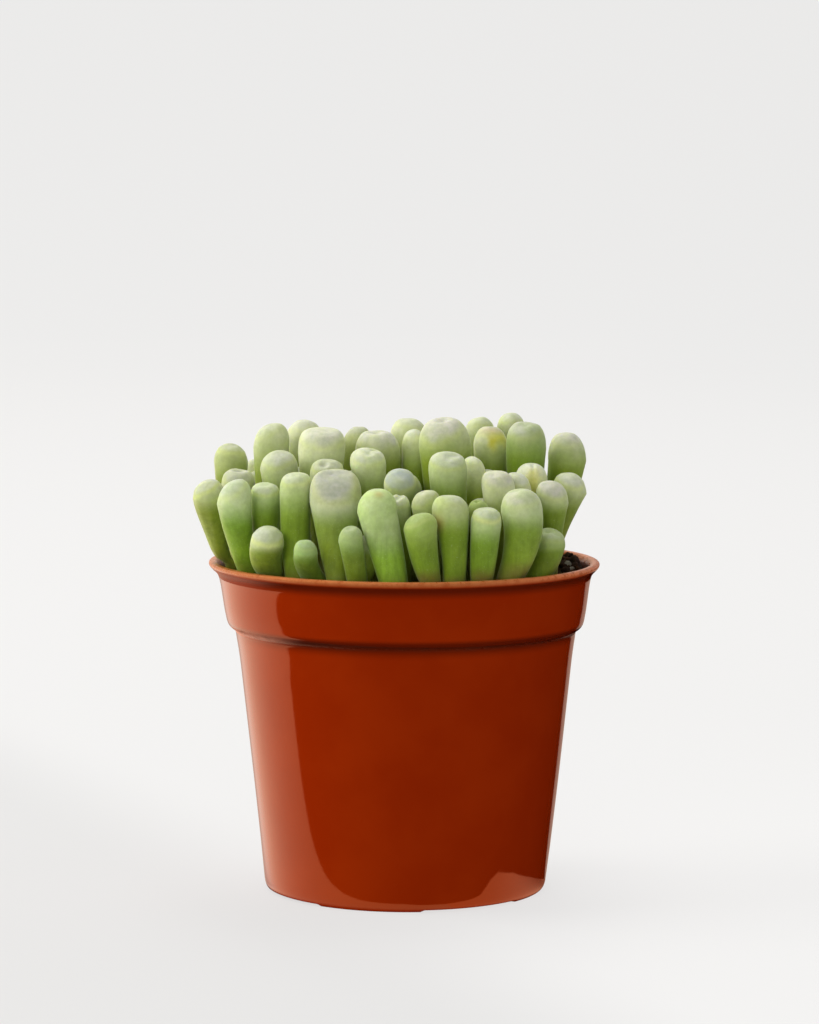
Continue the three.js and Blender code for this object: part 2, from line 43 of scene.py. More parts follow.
# ------------------------------------------------------------------ leaf data
# Millimetres. Centre at the pot's mouth (x y z), centre of the widest section
# (x y z), tip (x y z), half width at the mouth and at the widest section,
# depth : width, exponent of the flare, sideways bow (x y).
# Then the look: window tilt (to the left, to the front), how small the window is,
# green, yellow, window tone (-1 bluish .. 1 pinkish), ridge, a named feature,
# how far up the deep green reaches, how square the dome is, how bright the leaf is
# and how much pale bloom it carries.
LEAVES = {
    "leaf_01": [((-37.48, -2.84, 71.55, -41.79, -13, 86.24, -41.57, -13, 90.53, 1.43, 3.51, 0.94, 0.8, -0.95, 0), (0.35, 0.25, 0.3, 0.35, 0.7, 0, 0.8, 'ribs', 0.9, 2.15, 0.941, 1.0))],
    "leaf_02": [((-35.89, 4.27, 74.51, -37.95, 6, 92.35, -38.18, 6, 96.73, 2.4, 3.81, 0.99, 0.78, -0.5, -0.23), (-0.05, 0.05, 0.35, 0.35, 0.6, -0.1, 0.7, '', 0.6, 2.0, 0.883, 0.75))],
    "leaf_03": [((-33.57, -15.61, 71.72, -36.1, -21.07, 85.98, -35.21, -21.07, 91.34, 2.16, 3.66, 0.94, 0.78, -0.26, 0.04), (0.3, 0.25, 0.25, 0.9, 0.2, -0.3, 0.25, '', 0.05, 2.15, 1.018, 1.15))],
    "leaf_04": [((-33.94, -4.63, 73.96, -35.85, -7, 88.29, -35.85, -7, 92.38, 2.24, 3.64, 0.94, 0.78, -0.04, 0.15), (0.0, 0.35, 0.15, 0.2, 0.5, 0.3, 0.4, 'dimples', 0.4, 2.4, 0.86, 1.0))],
    "leaf_08": [((-17.18, -3.11, 74.74, -17.97, -3.04, 95.61, -17.87, -3.04, 100.96, 2.78, 5.1, 0.83, 0.94, -0.37, -0.11), (-0.05, 0.35, 0.25, 0.25, 0.25, 0.4, 0.3, '', 0.0, 3.2, 1.067, 1.15))],
    "leaf_10": [((-4.6, 1.27, 74.31, -5.78, -0.12, 94.11, -6.03, -0.12, 100.4, 2.79, 5.01, 0.86, 0.94, -0.04, -0.27), (-0.05, 0.3, 0.25, 0.25, 0.3, 0.4, 0.1, 'dimples', 1.5, 2.5, 0.97, 1.35))],
    "leaf_12": [((-26.36, -7, 74.25, -26.99, -8, 92.1, -26.77, -8, 96.4, 2.7, 4.08, 0.94, 0.78, 0.33, -0.15), (0.1, 0.35, 0.2, 0.35, 0.3, 0, 0.35, '', 0.1, 2.1, 0.95, 0.95))],
    "leaf_13": [((-15.92, -11, 74.08, -16.58, -12, 91.21, -16.59, -12, 94.93, 2.23, 3.73, 0.94, 0.78, -0.08, -0.16), (0.0, 0.4, 0.2, 0.3, 0.4, 0.1, 0.6, 'dimples', 0.3, 2.4, 0.86, 0.95))],
    "leaf_15": [((-28.36, -21.39, 71.12, -28.91, -26.23, 77.62, -28.69, -26.23, 81.95, 2.71, 3.61, 0.94, 0.62, -0.6, -0.23), (0.0, 0.35, 0.1, 0.5, 0.5, -0.3, 0.95, '', 0.55, 2.15, 0.97, 0.9))],
    "leaf_16": [((-22.52, -22.58, 71.28, -22.98, -21.44, 89.05, -22.76, -21.44, 92.84, 2.77, 3.42, 0.94, 0.8, -0.26, 0.22), (0.05, 0.25, 0.25, 0.7, 0.35, -0.1, 0.4, '', 0.2, 2.7, 0.999, 0.9))],
    "leaf_17": [((-13.97, -30.98, 70.81, -14.46, -24.41, 86.82, -14.58, -24.41, 93.71, 2.27, 5.54, 0.76, 0.95, -0.01, -0.19), (0.0, 0.75, 0.1, 0.38, 0.0, 0.25, 0.45, 'dish', 0.3, 3.0, 0.8, 1.4))],
    "leaf_18": [((-18.78, -27.25, 70.78, -20.56, -32.88, 76.69, -20.78, -32.88, 79.78, 2.91, 2.58, 1, 0.62, -0.6, -0.14), (0.0, 0.3, 0.25, 0.8, 0.0, -0.3, 0.1, '', 0.35, 2.15, 0.84, 0.5))],
    "leaf_20": [((-2.17, -34.06, 70.81, -5.69, -32.15, 85.29, -5.49, -32.15, 90.47, 3.03, 4.28, 0.94, 0.78, 0.01, 0.08), (0.0, 0.05, 0.65, 0.95, 0.3, 0, 0.0, 'tipspot', -2.0, 2.15, 1.08, 0.85))],
    "leaf_23": [((3.2, -0.98, 73.06, 2.28, 1.85, 95.07, 2.02, 1.85, 100.34, 2.44, 2.97, 0.99, 0.62, -0.26, -0.22), (0.1, 0.1, 0.4, 0.5, 0.6, 0, 0.1, '', 1.0, 2.15, 1.009, 1.25))],
    "leaf_24": [((5.53, -35, 70.95, 3.38, -35.29, 82.09, 3.91, -35.29, 85.72, 2.09, 3.63, 0.94, 0.58, -0.31, 0.29), (0.35, 0.2, 0.3, 0.9, 0.5, -0.2, 0.3, 'pinkfoot', -0.2, 2.15, 0.912, 0.3))],
    "leaf_26": [((0.84, 8.69, 74.2, 0.96, 9.68, 98.16, 0.71, 9.68, 102.31, 2.55, 4.05, 0.94, 0.78, 0.38, -0.18), (0.0, 0.1, 0.3, 0.3, 0.5, 0, 0.1, '', 0.29, 2.05, 0.97, 1.0))],
    "leaf_27": [((10.15, -2.53, 72.61, 8.73, -3.83, 96.44, 8.47, -3.83, 103.49, 3.02, 5.69, 0.8, 0.7, 0.01, -0), (0.25, 0.35, 0.25, 0.35, 0.2, 0.5, 0.3, 'dimples', 1.45, 2.3, 0.989, 1.25))],
    "leaf_28": [((10.48, -33.43, 70.79, 9.74, -31.02, 84.62, 9.27, -31.02, 89.14, 2.33, 3.95, 0.94, 1.33, 0.33, -0.28), (0.0, 0.15, 0.45, 0.8, 0.55, 0, 0.1, 'blush', 0.6, 2.5, 0.951, 0.85))],
    "leaf_29": [((10.89, -13.05, 73.78, 9.27, -16.01, 92.75, 9.02, -16.01, 96.9, 2.74, 4.15, 0.94, 0.78, -0.15, 0.06), (0.0, 0.45, 0.2, 0.55, 0.2, -0.2, 0.4, 'dimples', 0.2, 2.6, 0.98, 0.9))],
    "leaf_31": [((19.21, 4.01, 73.68, 18.85, 4, 95.84, 18.58, 4, 101, 2.67, 3.86, 0.94, 0.62, -0.03, 0.23), (0.0, 0.1, 0.4, 0.45, 0.5, 0.5, 0.1, 'yellow', 0.8, 2.15, 0.97, 1.3))],
    "leaf_34": [((27.13, -1, 73.17, 26.29, -1.48, 96.32, 26.24, -1.48, 102.6, 2.65, 4.44, 0.94, 0.7, -0.5, 0.11), (0.1, 0.25, 0.3, 0.7, 0.1, 0.1, 0.3, 'dimples', 1.45, 2.4, 0.83, 1.05))],
    "leaf_35": [((31.65, 6, 72.86, 35.53, 6, 93.11, 35.25, 6, 99.56, 1.97, 4.15, 0.94, 0.8, 0.27, -0.04), (0.05, 0.15, 0.35, 0.45, 0.2, 0.5, 0.1, '', 1.6, 2.3, 0.912, 1.4))],
    "leaf_36": [((31.03, -5, 72.54, 35.47, -7, 87.09, 35.2, -7, 91.86, 1.84, 3.81, 0.94, 1, -0.35, 0.15), (-0.1, 0.2, 0.25, 0.35, 0.4, 0, 0.5, '', 0.7, 2.15, 0.951, 1.0))],
    "leaf_37": [((30.84, -13.45, 72.84, 31.62, -15, 85.9, 31.02, -15, 90.74, 2.22, 3.5, 0.94, 0.7, -0.27, 0.25), (-0.1, 0.3, 0.2, 0.5, 0.2, 0.5, 0.4, '', 1.1, 2.5, 0.951, 1.35))],
    "leaf_38": [((22.24, -27.95, 71.04, 24.76, -27, 84.92, 24.5, -27, 90.13, 2.84, 4.42, 0.88, 0.7, 1.2, -0.1), (0.05, 0.25, 0.2, 0.6, 0.15, 0.6, 0.1, 'pinkfoot', 0.45, 2.3, 0.97, 1.0))],
    "leaf_39": [((28.01, -21, 70.68, 30.61, -21, 77.31, 30.69, -21, 81.23, 3.37, 3.59, 0.94, 0.62, 0.35, -0.21), (-0.1, 0.25, 0.25, 0.6, 0.2, 0, 0.2, 'dimples', 0.9, 2.15, 0.844, 0.5))],
    "leaf_40": [((16.23, -32.51, 70.7, 17.13, -32.28, 82.89, 17.11, -32.28, 86.64, 2.13, 3.22, 0.99, 0.55, 0.01, -0.25), (-0.05, 0.3, 0.2, 0.9, 0.3, 0, 0.9, 'pinkfoot', 0.1, 2.6, 0.96, 0.95))],
    "leaf_41": [((15.82, -26, 71.21, 15.76, -24.52, 84.63, 15.52, -24.52, 87.41, 1.48, 2.38, 1, 0.78, 0.37, 0.05), (0.0, 0.3, 0.2, 0.3, 0.2, 0.2, 0.2, '', 0.5, 2.15, 0.78, 0.1))],
    "leaf_43": [((27.29, -9.16, 73.64, 27.22, -8.71, 90.02, 27.18, -8.71, 93.99, 2.36, 3.53, 0.94, 0.78, 0.24, 0.12), (0.0, 0.4, 0.2, 0.35, 0.7, 0, 0.1, 'crease', 0.1, 2.15, 1.1, 1.5))],
    "leaf_pair_01": [((-31.49, 14.87, 73.39, -32.9, 16.83, 88.55, -33.13, 16.83, 92.52, 2.03, 2.73, 0.99, 0.78, -0.25, 0.25), (0.0, 0.1, 0.3, 0.1, 0.7, 0, 0.1, '', 0.4, 2.15, 0.941, 1.0)),
        ((-31.11, 11.21, 73.38, -30.95, 9.78, 86.54, -31.17, 9.95, 90.83, 2.26, 3.9, 0.95, 0.8, 0, 0), (0.07, -0.09, 0.25, 0.55, 0.36, 0.48, 0.57, '', 0.49, 2.15, 1.02, 1.0))],
    "leaf_pair_02": [((-28.2, 1.76, 74.82, -29.03, 0.94, 96.1, -28.35, 0.94, 101.59, 2.53, 3.9, 0.88, 0.78, -0.23, 0.16), (0.25, 0.15, 0.35, 0.35, 0.4, 0, 0.15, '', 0.35, 2.4, 0.96, 0.92)),
        ((-24.7, 2.68, 74.79, -22.21, 2.73, 88.81, -22.23, 2.84, 92, 1.68, 2.9, 0.95, 0.8, 0, 0), (-0.14, 0.2, 0.25, 0.6, 0.41, -0.35, 0.28, '', 0.48, 2.15, 0.98, 1.0))],
    "leaf_pair_03": [((-22.24, 8.76, 74.09, -22.3, 9.64, 96.52, -21.85, 9.64, 101.95, 2.55, 4.16, 0.94, 0.78, -0.35, -0.02), (0.0, 0.1, 0.35, 0.2, 0.4, 0.2, 0.1, '', 0.4, 2.0, 1.018, 1.15)),
        ((-19.16, 6.65, 74.07, -16.23, 4.71, 88.6, -16.25, 4.57, 92, 1.79, 3.09, 0.95, 0.8, 0, 0), (0.15, -0.15, 0.25, 0.29, 0.53, -0.03, 0.25, '', 0.65, 2.15, 1.04, 1.0))],
    "leaf_pair_04": [((-11.01, 8.18, 73.54, -10.43, 8.07, 95.37, -9.98, 8.07, 100.57, 2.28, 3.48, 0.94, 0.78, -0.15, 0.13), (0.1, 0.1, 0.35, 0.3, 0.8, 0, 0.1, '', 0.8, 2.0, 0.834, 0.8)),
        ((-9.16, 11.04, 73.56, -7.6, 14.07, 88.81, -7.69, 13.78, 92, 1.68, 2.9, 0.95, 0.8, 0, 0), (0.16, 0.08, 0.25, 0.66, 0.57, -0.29, 0.24, 'dimples', 0.65, 2.15, 0.94, 1.0))],
    "leaf_pair_05": [((-6.9, -9.09, 74.56, -7.82, -11.37, 93.34, -8.06, -11.37, 97.28, 1.83, 3.95, 0.94, 1.5, 0.4, 0.23), (0.0, 0.45, 0.2, 0.4, 0.25, 0.1, 0.3, 'dimples', 0.0, 2.5, 1.086, 1.0)),
        ((-8.54, -6.55, 74.44, -10.77, -5.31, 88.81, -10.57, -5.25, 92, 1.68, 2.9, 0.95, 0.8, 0, 0), (-0.18, -0.19, 0.25, 0.21, 0.27, -0.07, 0.27, 'dimples', 0.31, 2.15, 1.03, 1.0))],
    "leaf_pair_06": [((-28.64, -13.5, 71.93, -29.56, -16.93, 86.67, -29.67, -16.93, 90.26, 2.58, 3.21, 0.99, 0.7, -0.3, -0.28), (0.0, 0.3, 0.2, 0.7, 0.15, -0.1, 0.5, '', 0.65, 2.6, 1.0, 0.95)),
        ((-25.11, -14.95, 72.1, -23, -15, 77.69, -22.81, -14.97, 81.24, 1.87, 3.22, 0.95, 0.8, 0, 0), (0.07, 0.0, 0.25, 0.38, 0.52, -0.29, 0.24, '', 0.56, 2.15, 0.99, 1.0))],
    "leaf_pair_07": [((-9.76, -33.41, 71.12, -11.1, -35.16, 79.5, -11, -35.16, 82.91, 2.19, 2.67, 1, 0.62, 0.02, -0.13), (0.0, 0.3, 0.25, 0.6, 0.05, -0.1, 0.1, '', 0.2, 2.15, 0.81, 0.45)),
        ((-8.52, -30.31, 71.07, -6.15, -25.96, 78.01, -6.24, -25.98, 81.2, 1.68, 2.9, 0.95, 0.8, 0, 0), (-0.19, -0.12, 0.25, 0.32, 0.19, 0.23, 0.2, 'dimples', 0.35, 2.15, 1.03, 1.0))],
    "leaf_pair_08": [((-0.01, -24.5, 70.97, -0.92, -23.88, 85.55, -1.16, -23.88, 88.56, 1.48, 2.27, 1, 0.78, 0.03, -0.06), (0.0, 0.4, 0.2, 0.4, 0.2, 0, 0.1, 'dimples', 0.1, 2.2, 1.08, 1.0)),
        ((-2.11, -22.54, 70.97, -7.93, -18.52, 83.4, -7.9, -18.53, 86.93, 1.86, 3.2, 0.95, 0.8, 0, 0), (0.19, -0.12, 0.25, 0.65, 0.16, 0.3, 0.38, 'dimples', 0.58, 2.15, 1.03, 1.0))],
    "leaf_pair_09": [((-0.45, -13, 73.3, -0.94, -17, 89.59, -0.96, -17, 93.29, 2.09, 3.49, 0.99, 0.78, 0.23, 0.22), (0.0, 0.95, 0.05, 0.45, 0.2, -0.8, 0.6, '', 0.4, 2.15, 0.97, 1.25)),
        ((-0.11, -9.27, 73.3, 0, -7.99, 87.32, -0.08, -7.98, 91.61, 2.26, 3.9, 0.95, 0.8, 0, 0), (0.18, 0.05, 0.25, 0.38, 0.23, -0.02, 0.54, '', 0.47, 2.15, 0.96, 1.0))],
    "leaf_pair_10": [((5.48, -25.07, 71.48, 4.36, -25.69, 85.97, 5.01, -25.69, 89.52, 2.06, 3.02, 0.94, 0.78, 0.35, -0.16), (0.35, 0.35, 0.15, 0.25, 0.3, 0.8, 0.3, '', 0.3, 2.6, 0.95, 0.5)),
        ((8.34, -23.55, 71.47, 10.73, -22.02, 84.62, 10.69, -22.23, 87.84, 1.7, 2.92, 0.95, 0.8, 0, 0), (-0.17, 0.16, 0.25, 0.39, 0.38, 0.18, 0.42, 'dimples', 0.56, 2.15, 0.96, 1.0))],
    "leaf_pair_11": [((15.12, -6.91, 73.55, 14.96, -8.96, 90.86, 14.48, -8.96, 95.38, 2.16, 2.76, 0.99, 0.7, -0.35, -0.16), (0.1, 0.1, 0.4, 0.25, 0.35, 0, 0.1, '', 0.5, 2.15, 1.16, 1.0)),
        ((17.06, -4.05, 73.45, 17.93, -2.55, 88.47, 17.77, -2.37, 92, 1.86, 3.21, 0.95, 0.8, 0, 0), (-0.06, 0.04, 0.25, 0.57, 0.4, -0.25, 0.3, '', 0.5, 2.15, 0.94, 1.0))],
    "leaf_pair_12": [((16.3, 11.98, 73.91, 16.61, 13, 97.96, 16.58, 13, 102.37, 2.42, 3.5, 0.94, 0.78, 0.21, 0.2), (0.0, 0.1, 0.3, 0.35, 0.4, 0, 0.1, '', 0.4, 2.0, 0.97, 1.0)),
        ((13.13, 9.49, 73.91, 10, 7, 87.71, 10.06, 6.72, 92, 2.26, 3.9, 0.95, 0.8, 0, 0), (-0.15, -0.0, 0.25, 0.37, 0.46, 0.2, 0.38, 'dimples', 0.33, 2.15, 0.98, 1.0))],
    "leaf_pair_13": [((22.94, 12.49, 73.88, 23.48, 14.89, 98.95, 23.45, 14.89, 103.13, 2.29, 3.17, 0.94, 0.78, 0.21, 0.12), (0.0, 0.1, 0.3, 0.4, 0.5, 0, 0.2, 'crease2', 0.5, 2.1, 0.97, 1.0)),
        ((25.22, 9.31, 73.84, 26.12, 7.63, 87.71, 25.87, 7.41, 92, 2.26, 3.9, 0.95, 0.8, 0, 0), (-0.14, 0.17, 0.25, 0.59, 0.45, -0.29, 0.19, 'dimples', 0.49, 2.15, 1.02, 1.0))],
    "leaf_pair_14": [((20.47, -17.94, 73.51, 20.09, -19.15, 88.38, 19.39, -19.15, 93.19, 2.34, 3.59, 0.88, 0.7, 0.24, -0.13), (0.0, 0.35, 0.2, 0.1, 0.1, 0.6, 0.1, '', 0.35, 3.0, 0.999, 1.1)),
        ((18.45, -15.13, 73.35, 16.6, -13.63, 83.59, 16.35, -13.82, 86.78, 1.68, 2.9, 0.95, 0.8, 0, 0), (-0.08, -0.07, 0.25, 0.5, 0.56, 0.32, 0.47, '', 0.7, 2.15, 0.95, 1.0))],
    "leaf_pair_15": [((24.15, -14.21, 73.32, 24.27, -14.27, 88.59, 23.57, -14.27, 92.41, 2.22, 2.85, 0.94, 0.7, 0.11, 0.27), (0.0, 0.35, 0.2, 0.25, 0.45, 0.1, 0.4, '', 0.3, 2.4, 1.028, 1.3)),
        ((22.33, -11.39, 73.35, 20.65, -8.13, 87.49, 20.89, -8.3, 90.68, 1.68, 2.9, 0.95, 0.8, 0, 0), (0.07, -0.12, 0.25, 0.63, 0.34, 0.2, 0.46, '', 0.3, 2.15, 1.02, 1.0))],
    "leaf_pair_16": [((-27.13, 18.85, 71.5, -32.85, 23.12, 84.17, -33.84, 23.55, 87.62, 2.13, 3.72, 0.92, 0.81, -0.05, -0.05), (-0.09, -0.15, 0.27, 0.61, 0.43, 0.49, 0.5, 'dimples', 0.3, 2.15, 0.96, 1.0)),
        ((-23.33, 19.05, 71.5, -24.16, 23.48, 84.58, -24.17, 24.36, 88.91, 2.28, 3.91, 0.9, 0.74, 0.15, 0.2), (0.05, -0.27, 0.21, 0.47, 0.51, 0.32, 0.34, '', 0.6, 2.15, 0.93, 1.0))],
    "leaf_pair_17": [((-16.96, 15.15, 71.5, -22.6, 16.57, 86.83, -23.47, 16.69, 90.64, 2.08, 3.88, 0.91, 0.87, -0.13, 0.1), (-0.05, -0.3, 0.32, 0.25, 0.15, 0.48, 0.19, '', 0.4, 2.15, 1.03, 1.0)),
        ((-13.64, 16.6, 71.5, -13.24, 16.89, 83.23, -12.94, 17.65, 87.08, 2.12, 3.7, 0.89, 0.89, -0.23, 0.03), (0.02, 0.0, 0.33, 0.21, 0.16, 0.08, 0.45, '', 0.51, 2.15, 1.02, 1.0))],
    "leaf_pair_18": [((-5.12, 18.38, 71.5, -7.2, 21.61, 84.66, -7.97, 22.49, 88.82, 1.89, 3.74, 0.96, 0.85, 0.22, -0.26), (0.06, 0.11, 0.22, 0.22, 0.48, 0.11, 0.46, '', 0.5, 2.15, 0.93, 1.0)),
        ((-3.12, 15.76, 71.5, -1.41, 15.5, 85.75, -0.93, 15.64, 89.23, 1.94, 3.68, 0.92, 0.87, 0.18, -0.29), (0.15, 0.1, 0.22, 0.48, 0.38, 0.47, 0.19, '', 0.36, 2.15, 0.94, 1.0))],
    "leaf_pair_19": [((6.75, 16.43, 71.5, 6.2, 15.18, 86.08, 5.84, 15.38, 90.19, 1.83, 3.61, 0.96, 0.93, 0.37, -0.02), (0.03, -0.07, 0.26, 0.32, 0.41, 0.35, 0.3, '', 0.52, 2.15, 1.04, 1.0)),
        ((8.81, 19.03, 71.5, 9.12, 22.41, 84.08, 9.81, 23.03, 87.72, 2.02, 3.53, 0.88, 0.89, -0.07, 0.13), (-0.05, -0.28, 0.22, 0.48, 0.58, -0.02, 0.22, '', 0.63, 2.15, 1.05, 1.0))],
    "leaf_pair_20": [((16.46, 19.7, 71.5, 16.71, 19.95, 85.44, 16.48, 20.55, 89.84, 2.17, 4.15, 0.98, 0.83, 0.02, 0.14), (0.16, -0.21, 0.34, 0.41, 0.38, 0.18, 0.56, 'dimples', 0.47, 2.15, 1.0, 1.0)),
        ((20.19, 18.78, 71.5, 27.78, 19.37, 82.08, 29.05, 20.1, 85.96, 2.3, 4.06, 0.96, 0.68, -0.33, 0.04), (0.12, 0.01, 0.31, 0.65, 0.17, -0.3, 0.47, 'dimples', 0.48, 2.15, 0.98, 1.0))],
    "leaf_pair_21": [((-22.32, 25.27, 71.5, -28.47, 29.19, 81.87, -29.88, 30.16, 85.84, 2.18, 3.75, 0.94, 0.95, 0.05, 0.26), (0.19, 0.01, 0.28, 0.56, 0.19, -0.13, 0.2, 'dimples', 0.48, 2.15, 1.04, 1.0)),
        ((-18.54, 25.31, 71.5, -20.09, 30.78, 87.07, -19.88, 31.35, 91.21, 2.21, 4.05, 0.89, 0.94, -0.37, -0.03), (-0.03, 0.01, 0.34, 0.63, 0.37, 0.38, 0.44, '', 0.52, 2.15, 1.0, 1.0))],
    "leaf_pair_22": [((-11.73, 23.73, 71.5, -15.02, 24.32, 86.05, -15.8, 24.84, 90.02, 2.31, 3.97, 0.91, 0.69, 0.1, 0.03), (0.17, 0.2, 0.22, 0.69, 0.54, -0.09, 0.23, '', 0.34, 2.15, 0.99, 1.0)),
        ((-8.17, 25.05, 71.5, -5.98, 29.71, 85.02, -5.64, 30.67, 89.17, 2.11, 3.85, 0.96, 0.81, -0.34, 0.06), (0.05, -0.19, 0.21, 0.32, 0.34, 0.46, 0.31, 'dimples', 0.47, 2.15, 1.0, 1.0))],
    "leaf_pair_23": [((-0.21, 23.26, 71.5, 0.04, 23.93, 86, -0.34, 24.47, 89.98, 2.07, 3.58, 0.89, 0.94, -0.22, -0.18), (-0.19, -0.29, 0.24, 0.43, 0.52, 0.42, 0.38, '', 0.7, 2.15, 0.93, 1.0)),
        ((2.4, 25.56, 71.5, 4.11, 29.55, 82.99, 4.72, 30.37, 86.38, 1.98, 3.64, 0.88, 0.87, 0.3, -0.18), (-0.08, 0.26, 0.28, 0.67, 0.49, 0.48, 0.12, '', 0.65, 2.15, 1.0, 1.0))],
    "leaf_pair_24": [((12.47, 26.18, 71.5, 11.92, 28.36, 81.15, 11.53, 29.59, 85.51, 1.94, 3.92, 0.92, 0.69, -0.04, 0.15), (-0.07, -0.23, 0.29, 0.59, 0.13, -0.18, 0.23, '', 0.6, 2.15, 0.94, 1.0)),
        ((15.63, 27.7, 71.5, 20.24, 33.76, 85.92, 21, 34.63, 90.06, 2.13, 3.73, 0.91, 0.93, 0.17, 0.03), (0.03, 0.08, 0.29, 0.51, 0.44, -0.36, 0.57, '', 0.64, 2.15, 0.96, 1.0))],
    "leaf_pair_25": [((-16.93, 31.15, 71.5, -21.72, 37.71, 84.28, -22.83, 38.86, 88.75, 2.13, 4.09, 0.88, 0.73, 0.25, -0.02), (0.06, -0.17, 0.28, 0.41, 0.46, -0.31, 0.15, '', 0.27, 2.15, 0.98, 1.0)),
        ((-13.42, 31, 71.5, -12.57, 33.89, 85.77, -12.28, 34.76, 89.67, 1.94, 3.78, 0.9, 0.79, 0.1, 0.19), (0.06, 0.2, 0.26, 0.57, 0.27, -0.37, 0.27, '', 0.47, 2.15, 0.95, 1.0))],
    "leaf_pair_26": [((-5.15, 32.5, 71.5, -8.78, 38.94, 80.79, -9.55, 40.41, 84.32, 2, 3.74, 0.89, 0.76, 0.14, 0.09), (0.11, -0.22, 0.22, 0.49, 0.58, -0.01, 0.37, '', 0.65, 2.15, 0.93, 1.0)),
        ((-1.99, 31.05, 71.5, -1.47, 33.3, 79.94, -0.9, 34.59, 83.45, 2.05, 3.56, 0.9, 0.85, -0.08, 0.03), (-0.03, 0.23, 0.26, 0.42, 0.32, 0.13, 0.23, 'dimples', 0.67, 2.15, 0.97, 1.0))],
    "leaf_pair_27": [((7, 31.84, 71.5, 5.45, 37.27, 84.08, 4.85, 38.23, 88.24, 2.28, 4.11, 0.91, 0.89, -0.08, 0.15), (-0.09, 0.02, 0.31, 0.59, 0.48, -0.1, 0.44, 'dimples', 0.67, 2.15, 1.03, 1.0)),
        ((10.52, 32.1, 71.5, 14.29, 38.3, 85.16, 15.11, 39.44, 89.14, 1.82, 3.59, 1, 0.96, -0.1, -0.02), (0.14, 0.17, 0.26, 0.25, 0.57, -0.06, 0.38, 'dimples', 0.3, 2.15, 0.98, 1.0))],
    "leaf_pair_28": [((21, 25.22, 71.5, 22.51, 25.96, 84.84, 22.4, 26.42, 88.92, 2.15, 4.03, 0.95, 0.92, 0.2, 0), (-0.04, 0.03, 0.31, 0.38, 0.46, 0.28, 0.38, '', 0.54, 2.15, 1.01, 1.0)),
        ((24.87, 24.8, 71.5, 32.09, 28.19, 83.48, 33.34, 29.25, 87.65, 2.38, 4.11, 0.9, 0.96, -0.13, 0.2), (0.09, 0.2, 0.34, 0.27, 0.29, 0.52, 0.33, '', 0.67, 2.15, 0.94, 1.0))],
}

FOOT_Z = 64.6       # the leaves end this deep in the peat
SOIL_TOP = 66.9
FOOT_LEAN = 0.35    # how much of its lean a leaf keeps below the pot's mouth


# ------------------------------------------------------------------ helpers
def smooth(e0, e1, x):
    t = np.clip((x - e0) / (e1 - e0), 0.0, 1.0)
    return t * t * (3 - 2 * t)


def soft_noise(rng, points, scale, octaves=2):
    """Smooth noise about 0, roughly -1..1, as a sum of sines in seeded directions."""
    out = np.zeros(len(points))
    amp, total = 1.0, 0.0
    for o in range(octaves):
        for _ in range(5):
            k = rng.normal(size=3)
            k *= (0.7 + 0.6 * rng.random()) / np.linalg.norm(k)
            out += amp * np.sin(points @ k * scale * 2 ** o + rng.random() * 6.283)
        total += amp * 5 ** 0.5
        amp *= 0.5
    return out / total


def mesh_object(name, verts, faces, attributes=None, shade_smooth=True):
    mesh = bpy.data.meshes.new(name)
    mesh.from_pydata([tuple(v) for v in verts], [], [tuple(f) for f in faces])
    mesh.update()
    if shade_smooth:
        mesh.polygons.foreach_set("use_smooth", [True] * len(mesh.polygons))
    for key, values in (attributes or {}).items():
        a = mesh.attributes.new(key, "FLOAT", "POINT")
        a.data.foreach_set("value", np.asarray(values, dtype=np.float32))
    obj = bpy.data.objects.new(name, mesh)
    bpy.context.scene.collection.objects.link(obj)
    return obj


class Nodes:
    """Small helper that writes a node material from top to bottom."""

    def __init__(self, name):
        self.mat = bpy.data.materials.new(name)
        self.mat.use_nodes = True
        self.tree = self.mat.node_tree
        self.tree.nodes.clear()
        self.out = self.tree.nodes.new("ShaderNodeOutputMaterial")

    def new(self, kind, **props):
        n = self.tree.nodes.new(kind)
        for k, v in props.items():
            setattr(n, k, v)
        return n

    def link(self, a, b):
        self.tree.links.new(a, b)

    def put(self, socket, value):
        if hasattr(value, "node"):
            self.link(value, socket)
        elif isinstance(value, (tuple, list)):
            socket.default_value = tuple(value) if len(value) == 4 or len(socket.default_value) == 3 else (*value, 1.0)
        else:
            socket.default_value = value

    def attr(self, name):
        return self.new("ShaderNodeAttribute", attribute_name=name).outputs["Fac"]

    def math(self, op, a, b=0.0, clamp=False):
        n = self.new("ShaderNodeMath", operation=op, use_clamp=clamp)
        self.put(n.inputs[0], a)
        self.put(n.inputs[1], b)
        return n.outputs[0]

    def mix(self, fac, a, b, blend="MIX"):
        n = self.new("ShaderNodeMix", data_type="RGBA", blend_type=blend)
        n.clamp_factor = True
        self.put(n.inputs["Factor"], fac)
        self.put(n.inputs[6], a)
        self.put(n.inputs[7], b)
        return n.outputs[2]

    def coords(self):
        return self.new("ShaderNodeTexCoord").outputs["Object"]

    def noise(self, vector, scale, detail=3.0, rough=0.55):
        n = self.new("ShaderNodeTexNoise")
        n.inputs["Scale"].default_value = scale
        n.inputs["Detail"].default_value = detail
        n.inputs["Roughness"].default_value = rough
        self.link(vector, n.inputs["Vector"])
        return n.outputs["Fac"]

    def ramp(self, fac, lo, hi, out_lo=0.0, out_hi=1.0):
        n = self.new("ShaderNodeMapRange")
        n.interpolation_type = "SMOOTHSTEP"
        self.put(n.inputs["Value"], fac)
        n.inputs["From Min"].default_value = lo
        n.inputs["From Max"].default_value = hi
        n.inputs["To Min"].default_value = out_lo
        n.inputs["To Max"].default_value = out_hi
        return n.outputs["Result"]

    def bump(self, height, strength, distance, normal=None):
        n = self.new("ShaderNodeBump")
        n.inputs["Strength"].default_value = strength
        n.inputs["Distance"].default_value = distance
        self.link(height, n.inputs["Height"])
        if normal is not None:
            self.link(normal, n.inputs["Normal"])
        return n.outputs["Normal"]


